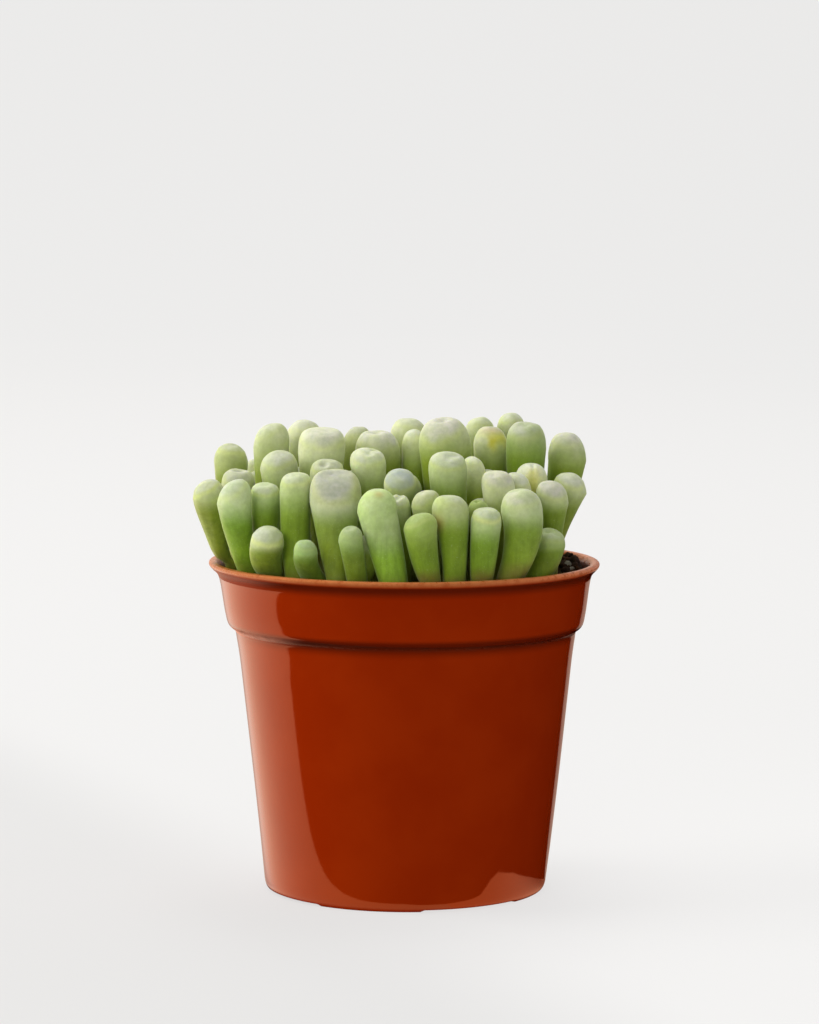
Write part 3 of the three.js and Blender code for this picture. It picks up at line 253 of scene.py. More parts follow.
def srgb(r, g, b):
    def lin(c):
        c /= 255.0
        return c / 12.92 if c <= 0.04045 else ((c + 0.055) / 1.055) ** 2.4
    return (lin(r), lin(g), lin(b), 1.0)


# ------------------------------------------------------------------ materials
def leaf_material():
    m = Nodes("leaf_skin")
    co = m.coords()
    hgt, win, ridge = m.attr("hgt"), m.attr("win"), m.attr("ridge")
    green, yellow, pink = m.attr("green"), m.attr("yellow"), m.attr("pink")
    tone, spot, warm, foot = m.attr("tone"), m.attr("spot"), m.attr("warm"), m.attr("foot")
    deepness, pale = m.attr("deep"), m.attr("pale")
    # broad blotches, mottling and fine papillae
    blotch = m.noise(co, 230.0, 3.0)
    mottle = m.noise(co, 900.0, 4.0, 0.6)
    speck = m.noise(co, 3200.0, 2.0, 0.5)
    streak_co = m.new("ShaderNodeMapping")
    streak_co.inputs["Scale"].default_value = (1.0, 1.0, 0.16)
    m.link(co, streak_co.inputs["Vector"])
    streak = m.noise(streak_co.outputs[0], 750.0, 3.0, 0.6)
    # colours of the flesh
    sage = srgb(*SAGE)
    vivid = srgb(*VIVID)
    olive = srgb(*OLIVE)
    body = m.mix(green, sage, vivid)
    body = m.mix(yellow, body, olive)
    # the lower part is deeper in colour, the shoulders carry a pale bloom
    low = m.ramp(m.math("SUBTRACT", hgt, m.math("MULTIPLY", deepness, 0.30)), 0.80, 0.31)
    deep = m.mix(green, srgb(*DEEP_A), srgb(*DEEP_B))
    body = m.mix(m.math("MULTIPLY", low, m.ramp(blotch, 0.25, 0.75, 0.72, 1.0)), body, deep)
    bloom = m.math("MULTIPLY", m.ramp(m.math("SUBTRACT", hgt, m.math("MULTIPLY", deepness, 0.12)), 0.50, 0.87), m.ramp(blotch, 0.25, 0.75, 0.62, 1.0))
    bloom = m.math("MULTIPLY", bloom, m.ramp(green, 0.0, 1.0, 0.95, 0.65))
    bloom = m.math("MULTIPLY", bloom, pale, clamp=True)
    body = m.mix(bloom, body, srgb(*BLOOM))
    body = m.mix(m.math("MULTIPLY", m.ramp(hgt, 0.80, 0.45), m.ramp(streak, 0.40, 0.68, 0.0, 0.34)), body,
                 m.mix(0.62, body, (0.03, 0.07, 0.0, 1.0)))
    mid = m.math("MULTIPLY", m.ramp(hgt, 0.26, 0.46), m.ramp(hgt, 0.80, 0.64))
    body = m.mix(m.math("MULTIPLY", mid, 0.16), body, (0.03, 0.06, 0.0, 1.0))
    # window
    pane = m.mix(m.ramp(pink, 0.0, 1.0), srgb(*PANE), srgb(*PANE_PINK))
    pane = m.mix(m.ramp(pink, 0.0, -1.0), pane, srgb(*PANE_BLUE))
    pane = m.mix(m.ramp(mottle, 0.35, 0.75, 0.0, 0.35), pane, srgb(*PANE_GREEN))
    w = m.math("MULTIPLY", m.math("MULTIPLY", win, m.ramp(blotch, 0.3, 0.7, 0.35, 0.9)), pale, clamp=True)
    body = m.mix(w, body, pane)
    # pale yellow-green band round the window
    body = m.mix(ridge, body, srgb(*RIDGE))
    # yellow scar, orange blush, brownish foot
    body = m.mix(spot, body, srgb(222, 214, 52))
    body = m.mix(warm, body, srgb(196, 150, 84))
    body = m.mix(m.math("MULTIPLY", foot, m.ramp(blotch, 0.3, 0.7, 0.5, 1.0)), body, srgb(150, 118, 70))
    # mottling
    body = m.mix(m.ramp(mottle, 0.3, 0.7, 0.0, 0.26), body, m.mix(0.5, body, (0.02, 0.03, 0.0, 1.0)))
    body = m.mix(m.ramp(speck, 0.60, 0.78, 0.0, 0.16), body, srgb(214, 220, 180))
    hsv = m.new("ShaderNodeHueSaturation")
    m.link(body, hsv.inputs["Color"])
    m.link(tone, hsv.inputs["Value"])
    b = m.new("ShaderNodeBsdfPrincipled")
    m.link(hsv.outputs["Color"], b.inputs["Base Color"])
    m.link(m.ramp(mottle, 0.3, 0.7, 0.40, 0.56), b.inputs["Roughness"])
    b.inputs["IOR"].default_value = 1.4
    b.inputs["Specular IOR Level"].default_value = 0.45
    b.inputs["Sheen Weight"].default_value = 0.22
    b.inputs["Sheen Roughness"].default_value = 0.45
    b.inputs["Sheen Tint"].default_value = (0.93, 1.0, 0.72, 1)
    b.inputs["Subsurface Weight"].default_value = 0.45
    b.inputs["Subsurface Radius"].default_value = (1.0, 1.15, 0.35)
    b.inputs["Subsurface Scale"].default_value = 0.0022
    nrm = m.bump(mottle, 0.22, 0.00025)
    nrm = m.bump(speck, 0.18, 0.00008, nrm)
    m.link(nrm, b.inputs["Normal"])
    m.link(b.outputs[0], m.out.inputs["Surface"])
    return m.mat


def plastic_material():
    m = Nodes("pot_plastic")
    co = m.coords()
    cloud = m.noise(co, 60.0, 3.0)
    fine = m.noise(co, 1500.0, 3.0, 0.6)
    scuff = m.noise(co, 420.0, 5.0, 0.7)
    col = m.mix(m.ramp(cloud, 0.3, 0.7), (0.275, 0.0200, 0.0008, 1), (0.250, 0.0160, 0.0004, 1))
    col = m.mix(m.ramp(scuff, 0.62, 0.80, 0.0, 0.10), col, (0.36, 0.06, 0.02, 1))
    # painted highlight: the lip is painted paler, more so towards the right
    sep = m.new("ShaderNodeSeparateXYZ")
    m.link(co, sep.inputs[0])
    lip = m.math("MULTIPLY", m.ramp(sep.outputs["Z"], 0.0703, 0.0716), m.ramp(scuff, 0.25, 0.6, 0.55, 1.0))
    painted_lip_highlight = m.mix(m.ramp(sep.outputs["X"], 0.010, 0.036), (0.48, 0.148, 0.043, 1), (0.66, 0.185, 0.062, 1))
    col = m.mix(lip, col, painted_lip_highlight)
    # painted shade: the inner wall below the lip is darkened in patches
    px, py = sep.outputs["X"], sep.outputs["Y"]
    rad = m.math("SQRT", m.math("ADD", m.math("MULTIPLY", px, px), m.math("MULTIPLY", py, py)))
    wall = m.math("ADD", m.math("MULTIPLY", sep.outputs["Z"], 0.169), 0.02855)
    inner_wall_shade = m.math("MULTIPLY", m.ramp(m.math("SUBTRACT", wall, rad), -0.0001, 0.0002),
                   m.math("MULTIPLY", m.ramp(sep.outputs["Z"], 0.0560, 0.0580), m.ramp(sep.outputs["Z"], 0.0712, 0.0700)))
    inner_wall_shade = m.math("MULTIPLY", inner_wall_shade, m.ramp(scuff, 0.30, 0.60, 0.95, 0.60))
    col = m.mix(inner_wall_shade, col, (0.050, 0.018, 0.008, 1))
    # painted shade in the groove under the collar, weaker on the far left
    groove_shade = m.math("MULTIPLY", m.ramp(sep.outputs["Z"], 0.0546, 0.0576), m.ramp(sep.outputs["Z"], 0.0594, 0.0581))
    col = m.mix(m.math("MULTIPLY", groove_shade, m.ramp(sep.outputs["X"], -0.034, -0.022, 0.35, 0.82)), col, (0.060, 0.004, 0.0004, 1))
    # painted shade under the lip, weaker on the far left
    under_lip_shade = m.math("MULTIPLY", m.ramp(sep.outputs["Z"], 0.0676, 0.0698), m.ramp(sep.outputs["Z"], 0.0708, 0.0703))
    col = m.mix(m.math("MULTIPLY", under_lip_shade, m.ramp(sep.outputs["X"], -0.037, -0.026, 0.35, 0.82)), col, (0.070, 0.006, 0.001, 1))
    b = m.new("ShaderNodeBsdfPrincipled")
    m.link(col, b.inputs["Base Color"])
    dull = m.math("MAXIMUM", m.math("MULTIPLY", groove_shade, 0.06), m.math("MULTIPLY", under_lip_shade, 0.06))
    dull = m.math("MAXIMUM", dull, m.math("MULTIPLY", lip, 0.26))
    dull = m.math("MAXIMUM", dull, m.math("MULTIPLY", inner_wall_shade, 0.5))
    m.link(m.math("ADD", m.ramp(fine, 0.3, 0.7, 0.05, 0.09), dull), b.inputs["Roughness"])
    b.inputs["IOR"].default_value = 1.49
    b.inputs["Specular Tint"].default_value = (1.0, 0.50, 0.26, 1)
    nrm = m.bump(cloud, 0.05, 0.0010)
    nrm = m.bump(fine, 0.03, 0.00004, nrm)
    nrm = m.bump(m.math("MULTIPLY", scuff, lip), 0.5, 0.00025, nrm)
    m.link(nrm, b.inputs["Normal"])
    m.link(b.outputs[0], m.out.inputs["Surface"])
    return m.mat


def peat_material(name, dark, light, pale, rough=0.95, scale=1.0):
    m = Nodes(name)
    co = m.coords()
    a = m.noise(co, 350.0 * scale, 5.0, 0.7)
    c = m.noise(co, 1400.0 * scale, 4.0, 0.7)
    col = m.mix(m.ramp(a, 0.3, 0.7), dark, light)
    col = m.mix(m.ramp(c, 0.62, 0.75, 0.0, 0.7), col, pale)
    b = m.new("ShaderNodeBsdfPrincipled")
    m.link(col, b.inputs["Base Color"])
    b.inputs["Roughness"].default_value = rough
    b.inputs["Specular IOR Level"].default_value = 0.25
    m.link(m.bump(c, 0.9, 0.0006, m.bump(a, 0.8, 0.0012)), b.inputs["Normal"])
    m.link(b.outputs[0], m.out.inputs["Surface"])
    return m.mat


PAPER_GLOW = (0.1, 1.9, 0.704, 0.712)
SAGE = (178, 192, 118)
VIVID = (132, 188, 54)
OLIVE = (168, 180, 50)
DEEP_A = (153, 166, 44)
DEEP_B = (132, 168, 40)
BLOOM = (224, 227, 193)
PANE = (206, 209, 192)
PANE_PINK = (209, 203, 190)
PANE_BLUE = (174, 184, 184)
PANE_GREEN = (186, 202, 160)
RIDGE = (214, 223, 148)

MAT_LEAF = leaf_material()
MAT_PLASTIC = plastic_material()
MAT_PEAT = peat_material("peat", srgb(42, 28, 20), srgb(80, 54, 36), srgb(132, 98, 66))
MAT_BARK = peat_material("peat_bark", srgb(60, 34, 20), srgb(110, 68, 40), srgb(150, 100, 60), 0.9, 1.6)
MAT_GRAIN = peat_material("pale_grain", srgb(188, 176, 158), srgb(222, 214, 200), srgb(240, 236, 226), 0.85, 1.6)


# ------------------------------------------------------------------ pot
BODY_R0, BODY_TAPER = 30.60, 0.1100


def body_r(z):
    return BODY_R0 + BODY_TAPER * z


OUTSIDE = [
    (0, 0), (4, 0), (8.0, 0), (8.12, 0.12), (8.3, 0.68), (8.45, 0.8), (15, 0.8), (22.9, 0.8), (23.2, 0.68),
    (23.42, 0.12), (23.6, 0), (26, 0), (29.2, 0), (29.72, 0.08), (30.16, 0.32), (30.45, 0.7), (30.66, 1.25),
    (30.82, 2.07), (31.02, 3.85), (body_r(12), 12), (body_r(24), 24), (body_r(36), 36), (body_r(44), 44),
    (body_r(50), 50), (36.45, 52.6), (36.70, 54.2), (36.86, 55.2), (36.97, 56.0), (37.06, 56.6), (37.28, 57.0),
    (37.68, 57.32), (38.15, 57.66), (38.52, 58.06), (38.78, 58.55), (38.96, 59.2), (39.11, 60.0), (39.31, 61.0),
    (39.49, 62.1), (39.70, 63.6), (39.92, 65.2), (40.14, 66.7), (40.36, 67.8), (40.55, 68.6), (40.86, 69.3),
    (41.35, 69.85), (41.92, 70.35), (42.3, 70.78),
    (42.48, 71.12), (42.5, 71.4), (42.36, 71.68), (42.05, 71.82), (41.6, 71.84), (41.1, 71.82), (40.75, 71.68),
    (40.4, 71.25), (40.05, 70.5), (39.75, 69.6), (39.5, 68.5), (39.22, 66.8), (39.0, 65.4), (38.8, 63.8),
    (38.62, 62.2), (38.4, 60.9), (38.15, 59.9), (37.85, 59.1), (37.5, 58.5), (37.0, 58.0), (36.5, 57.5),
    (36.12, 57.0), (35.95, 56.4), (35.86, 55.6), (body_r(54) - 0.8, 54), (body_r(42) - 0.8, 42),
    (body_r(28) - 0.8, 28), (body_r(14) - 0.8, 14), (body_r(4) - 0.8, 4), (30.1, 2.9), (29.8, 2.15),
    (29.3, 1.72), (28.6, 1.6), (18, 1.6), (8, 1.6), (0, 1.6),
]
# the thin wall stands a little to the right of its own lip
SWAY_Z = [0, 5.6, 10, 20, 30, 40, 50, 55, 60, 65, 68, 70.5, 71.84]
SWAY_X = [0.50, 0.57, 0.62, 0.63, 0.60, 0.54, 0.48, 0.42, 0.34, 0.27, 0.20, 0.08, 0.0]


def sway(z):
    return np.interp(z, SWAY_Z, SWAY_X)


def round_off(points, times):
    p = [np.array(q, float) for q in points]
    for _ in range(times):
        q = [p[0]]
        for a, b in zip(p[:-1], p[1:]):
            q += [a * 0.75 + b * 0.25, a * 0.25 + b * 0.75]
        q.append(p[-1])
        p = q
    return np.array(p)


def make_pot():
    prof = round_off(OUTSIDE, 1)
    # extra rings on the long straight wall, so that it can be a little uneven
    n = 224
    ang = np.linspace(0, 2 * math.pi, n, endpoint=False)
    inner = prof[1:-1]
    verts, faces = [(0, 0, prof[0][1] * MM)], []
    rng = np.random.default_rng(5)
    waves = [(k, rng.random() * 6.283, rng.uniform(0.4, 1.0)) for k in (2, 3, 5, 7)]
    foot_c = [math.radians(-15 + 90 * k) for k in range(4)]
    for r, z in inner:
        for a in ang:
            # azimuth measured from the front (-Y), positive to the right
            x, y = math.sin(a), -math.cos(a)
            zz = z
            if z < 0.56 and r > 22.6:
                d = min(abs((a - c + math.pi) % (2 * math.pi) - math.pi) for c in foot_c)
                up = float(smooth(math.radians(22.1), math.radians(23.1), d))
                zz = z + (0.55 - z) * up if z < 0.55 else z
            wob = 0.0
            if 5 < z < 70 and r > 29:
                h = min(1.0, (z - 5) / 20.0) * min(1.0, (70 - z) / 6.0)
                wob = 0.035 * h * sum(w * math.sin(k * a + ph + 0.03 * z) for k, ph, w in waves)
            verts.append((((r + wob) * x + float(sway(zz))) * MM, (r + wob) * y * MM, zz * MM))
    top = len(verts)
    verts.append((0, 0, prof[-1][1] * MM))
    m = len(inner)
    for j in range(n):
        k = (j + 1) % n
        faces.append((0, 1 + k, 1 + j))
        faces.append((top, 1 + (m - 1) * n + j, 1 + (m - 1) * n + k))
    for i in range(m - 1):
        a0, b0 = 1 + i * n, 1 + (i + 1) * n
        for j in range(n):
            k = (j + 1) % n
            faces.append((a0 + j, a0 + k, b0 + k, b0 + j))
    pot = mesh_object("pot_shell", verts, faces)
    # drain holes
    cutters = []
    for k in range(4):
        a = math.radians(-15 + 45 + 90 * k)
        cx, cy = 26.4 * math.sin(a) + 0.5, -26.4 * math.cos(a)
        cv, cf = [], []
        q = 40
        for z in (-2.0, 4.0):
            for i in range(q):
                t = 2 * math.pi * i / q
                cv.append(((cx + 3 * math.cos(t)) * MM, (cy + 3 * math.sin(t)) * MM, z * MM))
        cf = [tuple(range(q - 1, -1, -1)), tuple(range(q, 2 * q))]
        for i in range(q):
            j = (i + 1) % q
            cf.append((i, j, q + j, q + i))
        cutters.append(mesh_object("drill_%d" % k, cv, cf, shade_smooth=False))
    bpy.context.view_layer.objects.active = pot
    for c in cutters:
        mod = pot.modifiers.new("drain", "BOOLEAN")
        mod.operation = "DIFFERENCE"
        mod.solver = "EXACT"
        mod.object = c
    deps = bpy.context.evaluated_depsgraph_get()
    done = bpy.data.meshes.new_from_object(pot.evaluated_get(deps))
    pot.modifiers.clear()
    pot.data = done
    for c in cutters:
        bpy.data.objects.remove(c, do_unlink=True)
    done.materials.clear()
    done.materials.append(MAT_PLASTIC)
    done.polygons.foreach_set("use_smooth", [True] * len(done.polygons))
    done.set_sharp_from_angle(angle=math.radians(50))
    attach(pot, "root")
    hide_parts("pot")
    return pot


# ------------------------------------------------------------------ leaves
RINGS_BODY, RINGS_DOME, SIDES = 34, 20, 44


def leaf_mesh(seed, d, look):
    """Vertices (mm), faces and masks of one leaf."""
    tx, ty, small, green, yellow, pink, ridge_k, feature, deep, dome, tone, pale = look
    rng = np.random.default_rng(1000 + seed)
    B, H, A = np.array(d[0:3]), np.array(d[3:6]), np.array(d[6:9])
    ab, am, flat, flare, bx, by = d[9:15]
    t0 = (FOOT_Z - B[2]) / (H[2] - B[2])
    body_t = t0 + (1 - t0) * np.linspace(0, 1, RINGS_BODY) ** 0.9
    dome_s = 1 - (1 - np.linspace(0, 1, RINGS_DOME + 1)[1:-1]) ** 1.6
    st = np.concatenate([body_t, 1 + dome_s])
    ang = np.linspace(0, 2 * math.pi, SIDES, endpoint=False)
    T, ANG = np.meshgrid(st, ang, indexing="ij")
    al = np.clip(T, 0, 1)
    s = np.clip(T - 1, 0, 1)
    r = np.where(T < 0, ab * (1 + 0.35 * T), ab + (am - ab) * np.power(al, flare))
    r = np.where(T > 1, am * np.power(np.clip(1 - s ** dome, 0, 1), 1 / dome), r)
    f = 1 - (1 - flat) * al
    # soft, slightly uneven cross-section
    p2, p3, p5 = rng.random(3) * 6.283
    body_w = smooth(0.0, 0.25, al) * (1 - 0.6 * smooth(0.0, 0.8, s))
    r = r * (1 + body_w * (0.014 * np.cos(2 * ANG + p2) + 0.010 * np.cos(3 * ANG + p3)))
    rib = 0.010 if feature == "ribs" else 0.0035
    r = r * (1 + rib * (1 - s) * np.cos(9 * ANG + p5 + 0.6 * np.sin(T * 3)))
    lean = np.where(T < 0, FOOT_LEAN * T, T)
    c = B + (H - B) * np.stack([lean, lean, T], -1)
    c = np.where((T <= 1)[..., None], c, H + (A - H) * s[..., None])
    c = c + (4 * al * (1 - al))[..., None] * np.array([bx, by, 0.0])
    if feature == "ribs":
        # this one leans on the lip and bulges over it
        c[..., 0] -= 1.0 * smooth(-0.02, 0.07, T) * np.exp(-np.clip((T - 0.07) / 0.30, 0, None) ** 2)
    P = c + np.stack([r * np.cos(ANG), r * f * np.sin(ANG), np.zeros_like(r)], -1)
    P = P.reshape(-1, 3)
    tip = A[None, :]
    foot = (B + (H - B) * np.array([FOOT_LEAN, FOOT_LEAN, 1.0]) * t0)[None, :]
    P = np.concatenate([P, foot, tip])
    t_all = np.concatenate([T.ravel(), [t0, 2.0]])
    s_all = np.clip(t_all - 1, 0, 1)
    # direction from the centre of the head, for the window
    height = A[2] - H[2]
    q = (P - H) / np.array([am, am * flat, max(height, am * 0.8)])
    qn = q / (np.linalg.norm(q, axis=1)[:, None] + 1e-9)
    nw = np.array([-tx, -ty, 1.0])
    nw /= np.linalg.norm(nw)
    wob = 0.06 * soft_noise(rng, P, 0.9, 2)
    dot = qn @ nw + wob
    thr = min(0.985, 0.42 + 0.85 * small + (0.17 if feature == "dish" else 0.0))
    above = smooth(-0.35, 0.05, (P[:, 2] - H[2]) / height)
    above_rim = smooth(-1.3, -0.7, (P[:, 2] - H[2]) / height)
    soft_w = 0.26
    win = smooth(thr - soft_w * 0.5, thr + soft_w * 0.7, dot) * above
    # the window is flatter than the dome it sits in, with a slightly raised edge
    hgt_n = ((P - H) @ nw) / am
    cut = np.max(hgt_n) * (0.90 if small < 0.5 else 0.985)
    over = np.clip(hgt_n - cut + 0.06, 0, None)
    flat_k = float(np.clip((dome - 1.95) * 0.42, 0.04, 0.62)) if small < 0.5 else 0.06
    push = over * flat_k * am
    P = P - nw[None, :] * push[:, None]
    edge = np.exp(-((dot - thr) / 0.075) ** 2) * above
    P = P + qn * (edge * (0.02 + 0.09 * ridge_k))[:, None]
    if feature == "dish":
        inside = smooth(thr - 0.05, 1.0, dot) * above
        P = P - nw[None, :] * (inside * 0.9)[:, None]
    # dimples and wrinkles on the window
    nd = {"dimples": 5, "crease": 3}.get(feature, 2)
    for _ in range(nd):
        k = nw + rng.normal(size=3) * 0.28
        k /= np.linalg.norm(k)
        g = np.exp(-((1 - qn @ k) / (0.018 + 0.02 * rng.random()))) * above
        depth = rng.uniform(0.12, 0.30) if feature != "dimples" else rng.uniform(0.25, 0.45)
        P = P - nw[None, :] * (g * depth)[:, None]
    if feature == "crease":
        lateral = (P[:, 0] - H[0] - 0.1 * am) / am
        g = np.exp(-(lateral / 0.10) ** 2) * smooth(0.1, 0.6, -qn[:, 1] + 0.4) * above
        P = P - qn * (g * 0.35)[:, None]
    # broad unevenness, always inwards so that neighbours stay clear
    un = soft_noise(rng, P, 0.55, 2)
    radial = P - np.concatenate([c.reshape(-1, 3), foot, tip])
    rl = np.linalg.norm(radial, axis=1)[:, None] + 1e-9
    inward = (0.5 + 0.5 * un) * 0.11 * smooth(0.0, 0.3, np.clip(t_all, 0, 1)) * (1 - s_all)
    P = P - radial / rl * inward[:, None]
    # masks
    hgt = np.clip(np.where(t_all <= 1, t_all * 0.8, 0.8 + 0.2 * s_all), 0, 1)
    rim = np.exp(-((dot - (thr - 0.10)) / 0.105) ** 2) * above_rim * min(1.0, 0.12 + 0.85 * ridge_k)
    front = smooth(-0.2, 0.6, -qn[:, 1])
    if feature == "dish":
        rim = np.maximum(rim, 0.75 * smooth(0.50, 0.72, qn[:, 0]) * smooth(-0.25, 0.25, qn[:, 2]))
        win = win * (1 - smooth(0.40, 0.62, qn[:, 0]))
    n_p = soft_noise(rng, P, 0.8, 3)
    spot = np.zeros(len(P))
    warm = np.zeros(len(P))
    if feature == "yellow":
        wavy = 0.16 * n_p * height
        spot = np.exp(-(((P[:, 2] + wavy - (H[2] + 0.44 * height)) / (0.34 * height)) ** 2)) * smooth(-0.70, 0.20, qn[:, 0] + 0.45 * n_p)
        spot *= 0.72 + 0.28 * np.clip(n_p, -1, 1)
        spot *= front
        warm = np.exp(-(((P[:, 2] - (H[2] + 0.85 * height)) / (0.2 * height)) ** 2)) * 0.25 * front
    if feature == "crease":
        low_mid = smooth(0.95, 0.45, (P[:, 2] - H[2]) / height)
        spot = np.exp(-(((P[:, 0] - H[0] - 0.1 * am) / (0.45 * am)) ** 2)) * front * above_rim * low_mid * 0.5
    if feature == "blush":
        warm = smooth(0.1, 0.8, -qn[:, 0]) * np.exp(-((hgt - 0.72) / 0.10) ** 2) * 0.55 * front
    if feature == "tipspot":
        warm = np.exp(-((1 - qn @ (np.array([0.1, -0.6, 0.8]) / 1.005)) / 0.02)) * 0.4
    foot_m = smooth(0.16, -0.05, t_all) * (0.85 if feature in ("pinkfoot", "blush") else 0.35)
    if feature == "pinkfoot":
        foot_m = np.maximum(foot_m, smooth(0.34, 0.02, t_all) * 0.8)
    faces = []
    n = len(st)
    for i in range(n - 1):
        a0, b0 = i * SIDES, (i + 1) * SIDES
        for j in range(SIDES):
            k = (j + 1) % SIDES
            faces.append((a0 + j, a0 + k, b0 + k, b0 + j))
    fi, ti = n * SIDES, n * SIDES + 1
    for j in range(SIDES):
        k = (j + 1) % SIDES
        faces.append((fi, k, j))
        faces.append((ti, (n - 1) * SIDES + j, (n - 1) * SIDES + k))
    one = np.ones(len(P))
    masks = {"hgt": hgt, "win": win, "ridge": np.clip(rim, 0, 1), "green": one * green, "deep": one * deep, "yellow": one * yellow,
             "pink": one * pink, "tone": one * tone, "pale": one * pale, "spot": np.clip(spot, 0, 1), "warm": np.clip(warm, 0, 1),
             "foot": np.clip(foot_m, 0, 1)}
    return P, faces, masks


def make_leaves():
    seed = 0
    for node, parts in LEAVES.items():
        verts, faces, masks = [], [], {}
        base = 0
        for d, look in parts:
            seed += 1
            P, F, M = leaf_mesh(seed, d, look)
            verts.append(P * MM)
            faces += [tuple(i + base for i in f) for f in F]
            for k, v in M.items():
                masks.setdefault(k, []).append(v)
            base += len(P)
        obj = mesh_object("skin_" + node, np.concatenate(verts), faces, {k: np.concatenate(v) for k, v in masks.items()})
        obj.data.materials.append(MAT_LEAF)
        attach(obj, "root")
        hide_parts(node)


# ------------------------------------------------------------------ peat
def peat_level(x, y):
    heap = 4.5 * np.exp(-((x - 37.5) ** 2) / 60 - ((y - 10) ** 2) / 230)
    lumps = 0.35 * np.sin(x * 0.43 + 1.1) * np.cos(y * 0.37 - 0.4) + 0.2 * np.sin(x * 0.9 - y * 0.7)
    return SOIL_TOP + heap + lumps


def inside_r(z):
    return np.interp(z, [4, 54.8, 56.2, 57.3, 59, 60.8, 66.6, 68.7, 70.3],
                     [body_r(4) - 0.8, body_r(54.8) - 0.8, 35.6, 36.2, 37.8, 38.35, 39.2, 39.55, 39.95])


def make_peat():
    rng = np.random.default_rng(21)
    n, rings = 200, 84
    ang = np.linspace(0, 2 * math.pi, n, endpoint=False)
    verts, faces = [], []
    side = [(27.5, 2.0), (29.0, 2.2), (29.8, 4.0), (34.9, 54.6), (35.1, 56.2), (35.7, 57.5), (37.1, 59.2), (37.8, 61.0), (38.3, 64.0)]
    verts.append((0, 0, 2.0))
    for r, z in side:
        for a in ang:
            verts.append((r * math.cos(a) + float(sway(z)), r * math.sin(a), z))
    rr = np.linspace(1.0, 0.0, rings + 1)[:-1]
    for k in rr:
        x0, y0 = np.cos(ang) * 39.0 * k, np.sin(ang) * 39.0 * k
        lv = peat_level(x0, y0)
        lim = inside_r(lv) - 0.12
        f = np.minimum(1.0, lim / (np.hypot(x0, y0) + 1e-9))
        pts = np.stack([x0 * f, y0 * f, lv], 1)
        verts += [tuple(p) for p in pts]
    verts.append((0, 0, float(peat_level(0.0, 0.0))))
    P = np.array(verts, float)
    first_top = 1 + len(side) * n
    top = P[first_top:]
    # crumbly relief
    rough = np.zeros(len(top))
    for scale, amp in ((1.1, 0.30), (2.3, 0.22), (4.5, 0.14)):
        rough += amp * np.abs(soft_noise(rng, top * np.array([1, 1, 0.0]), scale, 2))
    edge = smooth(39.0, 37.5, np.hypot(top[:, 0], top[:, 1]))
    top[:, 2] += (rough - 0.25) * (0.35 + 0.65 * edge)
    P[first_top:] = top
    total = len(side) + rings
    for j in range(n):
        faces.append((0, 1 + (j + 1) % n, 1 + j))
    for i in range(total - 1):
        a0, b0 = 1 + i * n, 1 + (i + 1) * n
        for j in range(n):
            k = (j + 1) % n
            faces.append((a0 + j, a0 + k, b0 + k, b0 + j))
    last = len(P) - 1
    a0 = 1 + (total - 1) * n
    for j in range(n):
        faces.append((a0 + j, a0 + (j + 1) % n, last))
    bed = mesh_object("peat_bed", P * MM, faces)
    bed.data.materials.append(MAT_PEAT)
    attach(bed, "root")
    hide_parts("soil")

    # loose crumbs, bark chips and pale grains lying on the bed
    bases = []
    for parts in LEAVES.values():
        for d, _ in parts:
            bases.append((d[0], d[1], d[9] + 0.4))
    bases = np.array(bases)
    ico_v, ico_f = ico(1)

    def scatter(name, count, size, material, squash, seed):
        g = np.random.default_rng(seed)
        vs, fs, made, tries = [], [], 0, 0
        while made < count and tries < count * 40:
            tries += 1
            a, rad = g.random() * 6.283, 38.0 * math.sqrt(g.random())
            x, y = rad * math.cos(a), rad * math.sin(a)
            sz = size * math.exp(g.normal() * 0.35)
            lv = float(peat_level(x, y))
            if rad + sz > float(inside_r(lv)) - 0.3:
                continue
            if np.min(np.hypot(bases[:, 0] - x, bases[:, 1] - y) - bases[:, 2]) < sz:
                continue
            v = ico_v * (1 + 0.28 * soft_noise(g, ico_v * 3.0, 1.0, 1)[:, None])
            v = v * np.array([1.0, 0.55 + 0.45 * g.random(), squash * (0.6 + 0.8 * g.random())]) * sz
            q = g.normal(size=4)
            q /= np.linalg.norm(q)
            q[1] *= 0.45
            q[2] *= 0.45
            q /= np.linalg.norm(q)
            w, i, j, k = q
            R = np.array([[1 - 2 * (j * j + k * k), 2 * (i * j - k * w), 2 * (i * k + j * w)],
                          [2 * (i * j + k * w), 1 - 2 * (i * i + k * k), 2 * (j * k - i * w)],
                          [2 * (i * k - j * w), 2 * (j * k + i * w), 1 - 2 * (i * i + j * j)]])
            v = v @ R.T + np.array([x, y, lv + 0.10 + sz * 0.12 * g.random()])
            fs += [tuple(t + len(vs) * len(ico_v) for t in f) for f in ico_f]
            vs.append(v)
            made += 1
        obj = mesh_object(name, np.concatenate(vs) * MM, fs, shade_smooth=True)
        obj.data.materials.append(material)
        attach(obj, "root")

    scatter("peat_crumbs", 900, 0.75, MAT_PEAT, 0.7, 31)
    scatter("bark_chips", 90, 1.05, MAT_BARK, 0.4, 32)
    scatter("pale_grains", 70, 0.62, MAT_GRAIN, 0.8, 33)


def ico(level):
    import bmesh
    bm = bmesh.new()
    bmesh.ops.create_icosphere(bm, subdivisions=level + 1, radius=1.0)
    v = np.array([tuple(x.co) for x in bm.verts])
    f = [tuple(x.index for x in face.verts) for face in bm.faces]
    bm.free()
    return v, f


# ------------------------------------------------------------------ stage
def flat_material(name, colour, rough=0.9):
    m = Nodes(name)
    b = m.new("ShaderNodeBsdfPrincipled")
    b.inputs["Base Color"].default_value = colour
    b.inputs["Roughness"].default_value = rough
    b.inputs["Specular IOR Level"].default_value = 0.1
    m.link(b.outputs[0], m.out.inputs["Surface"])
    return m.mat


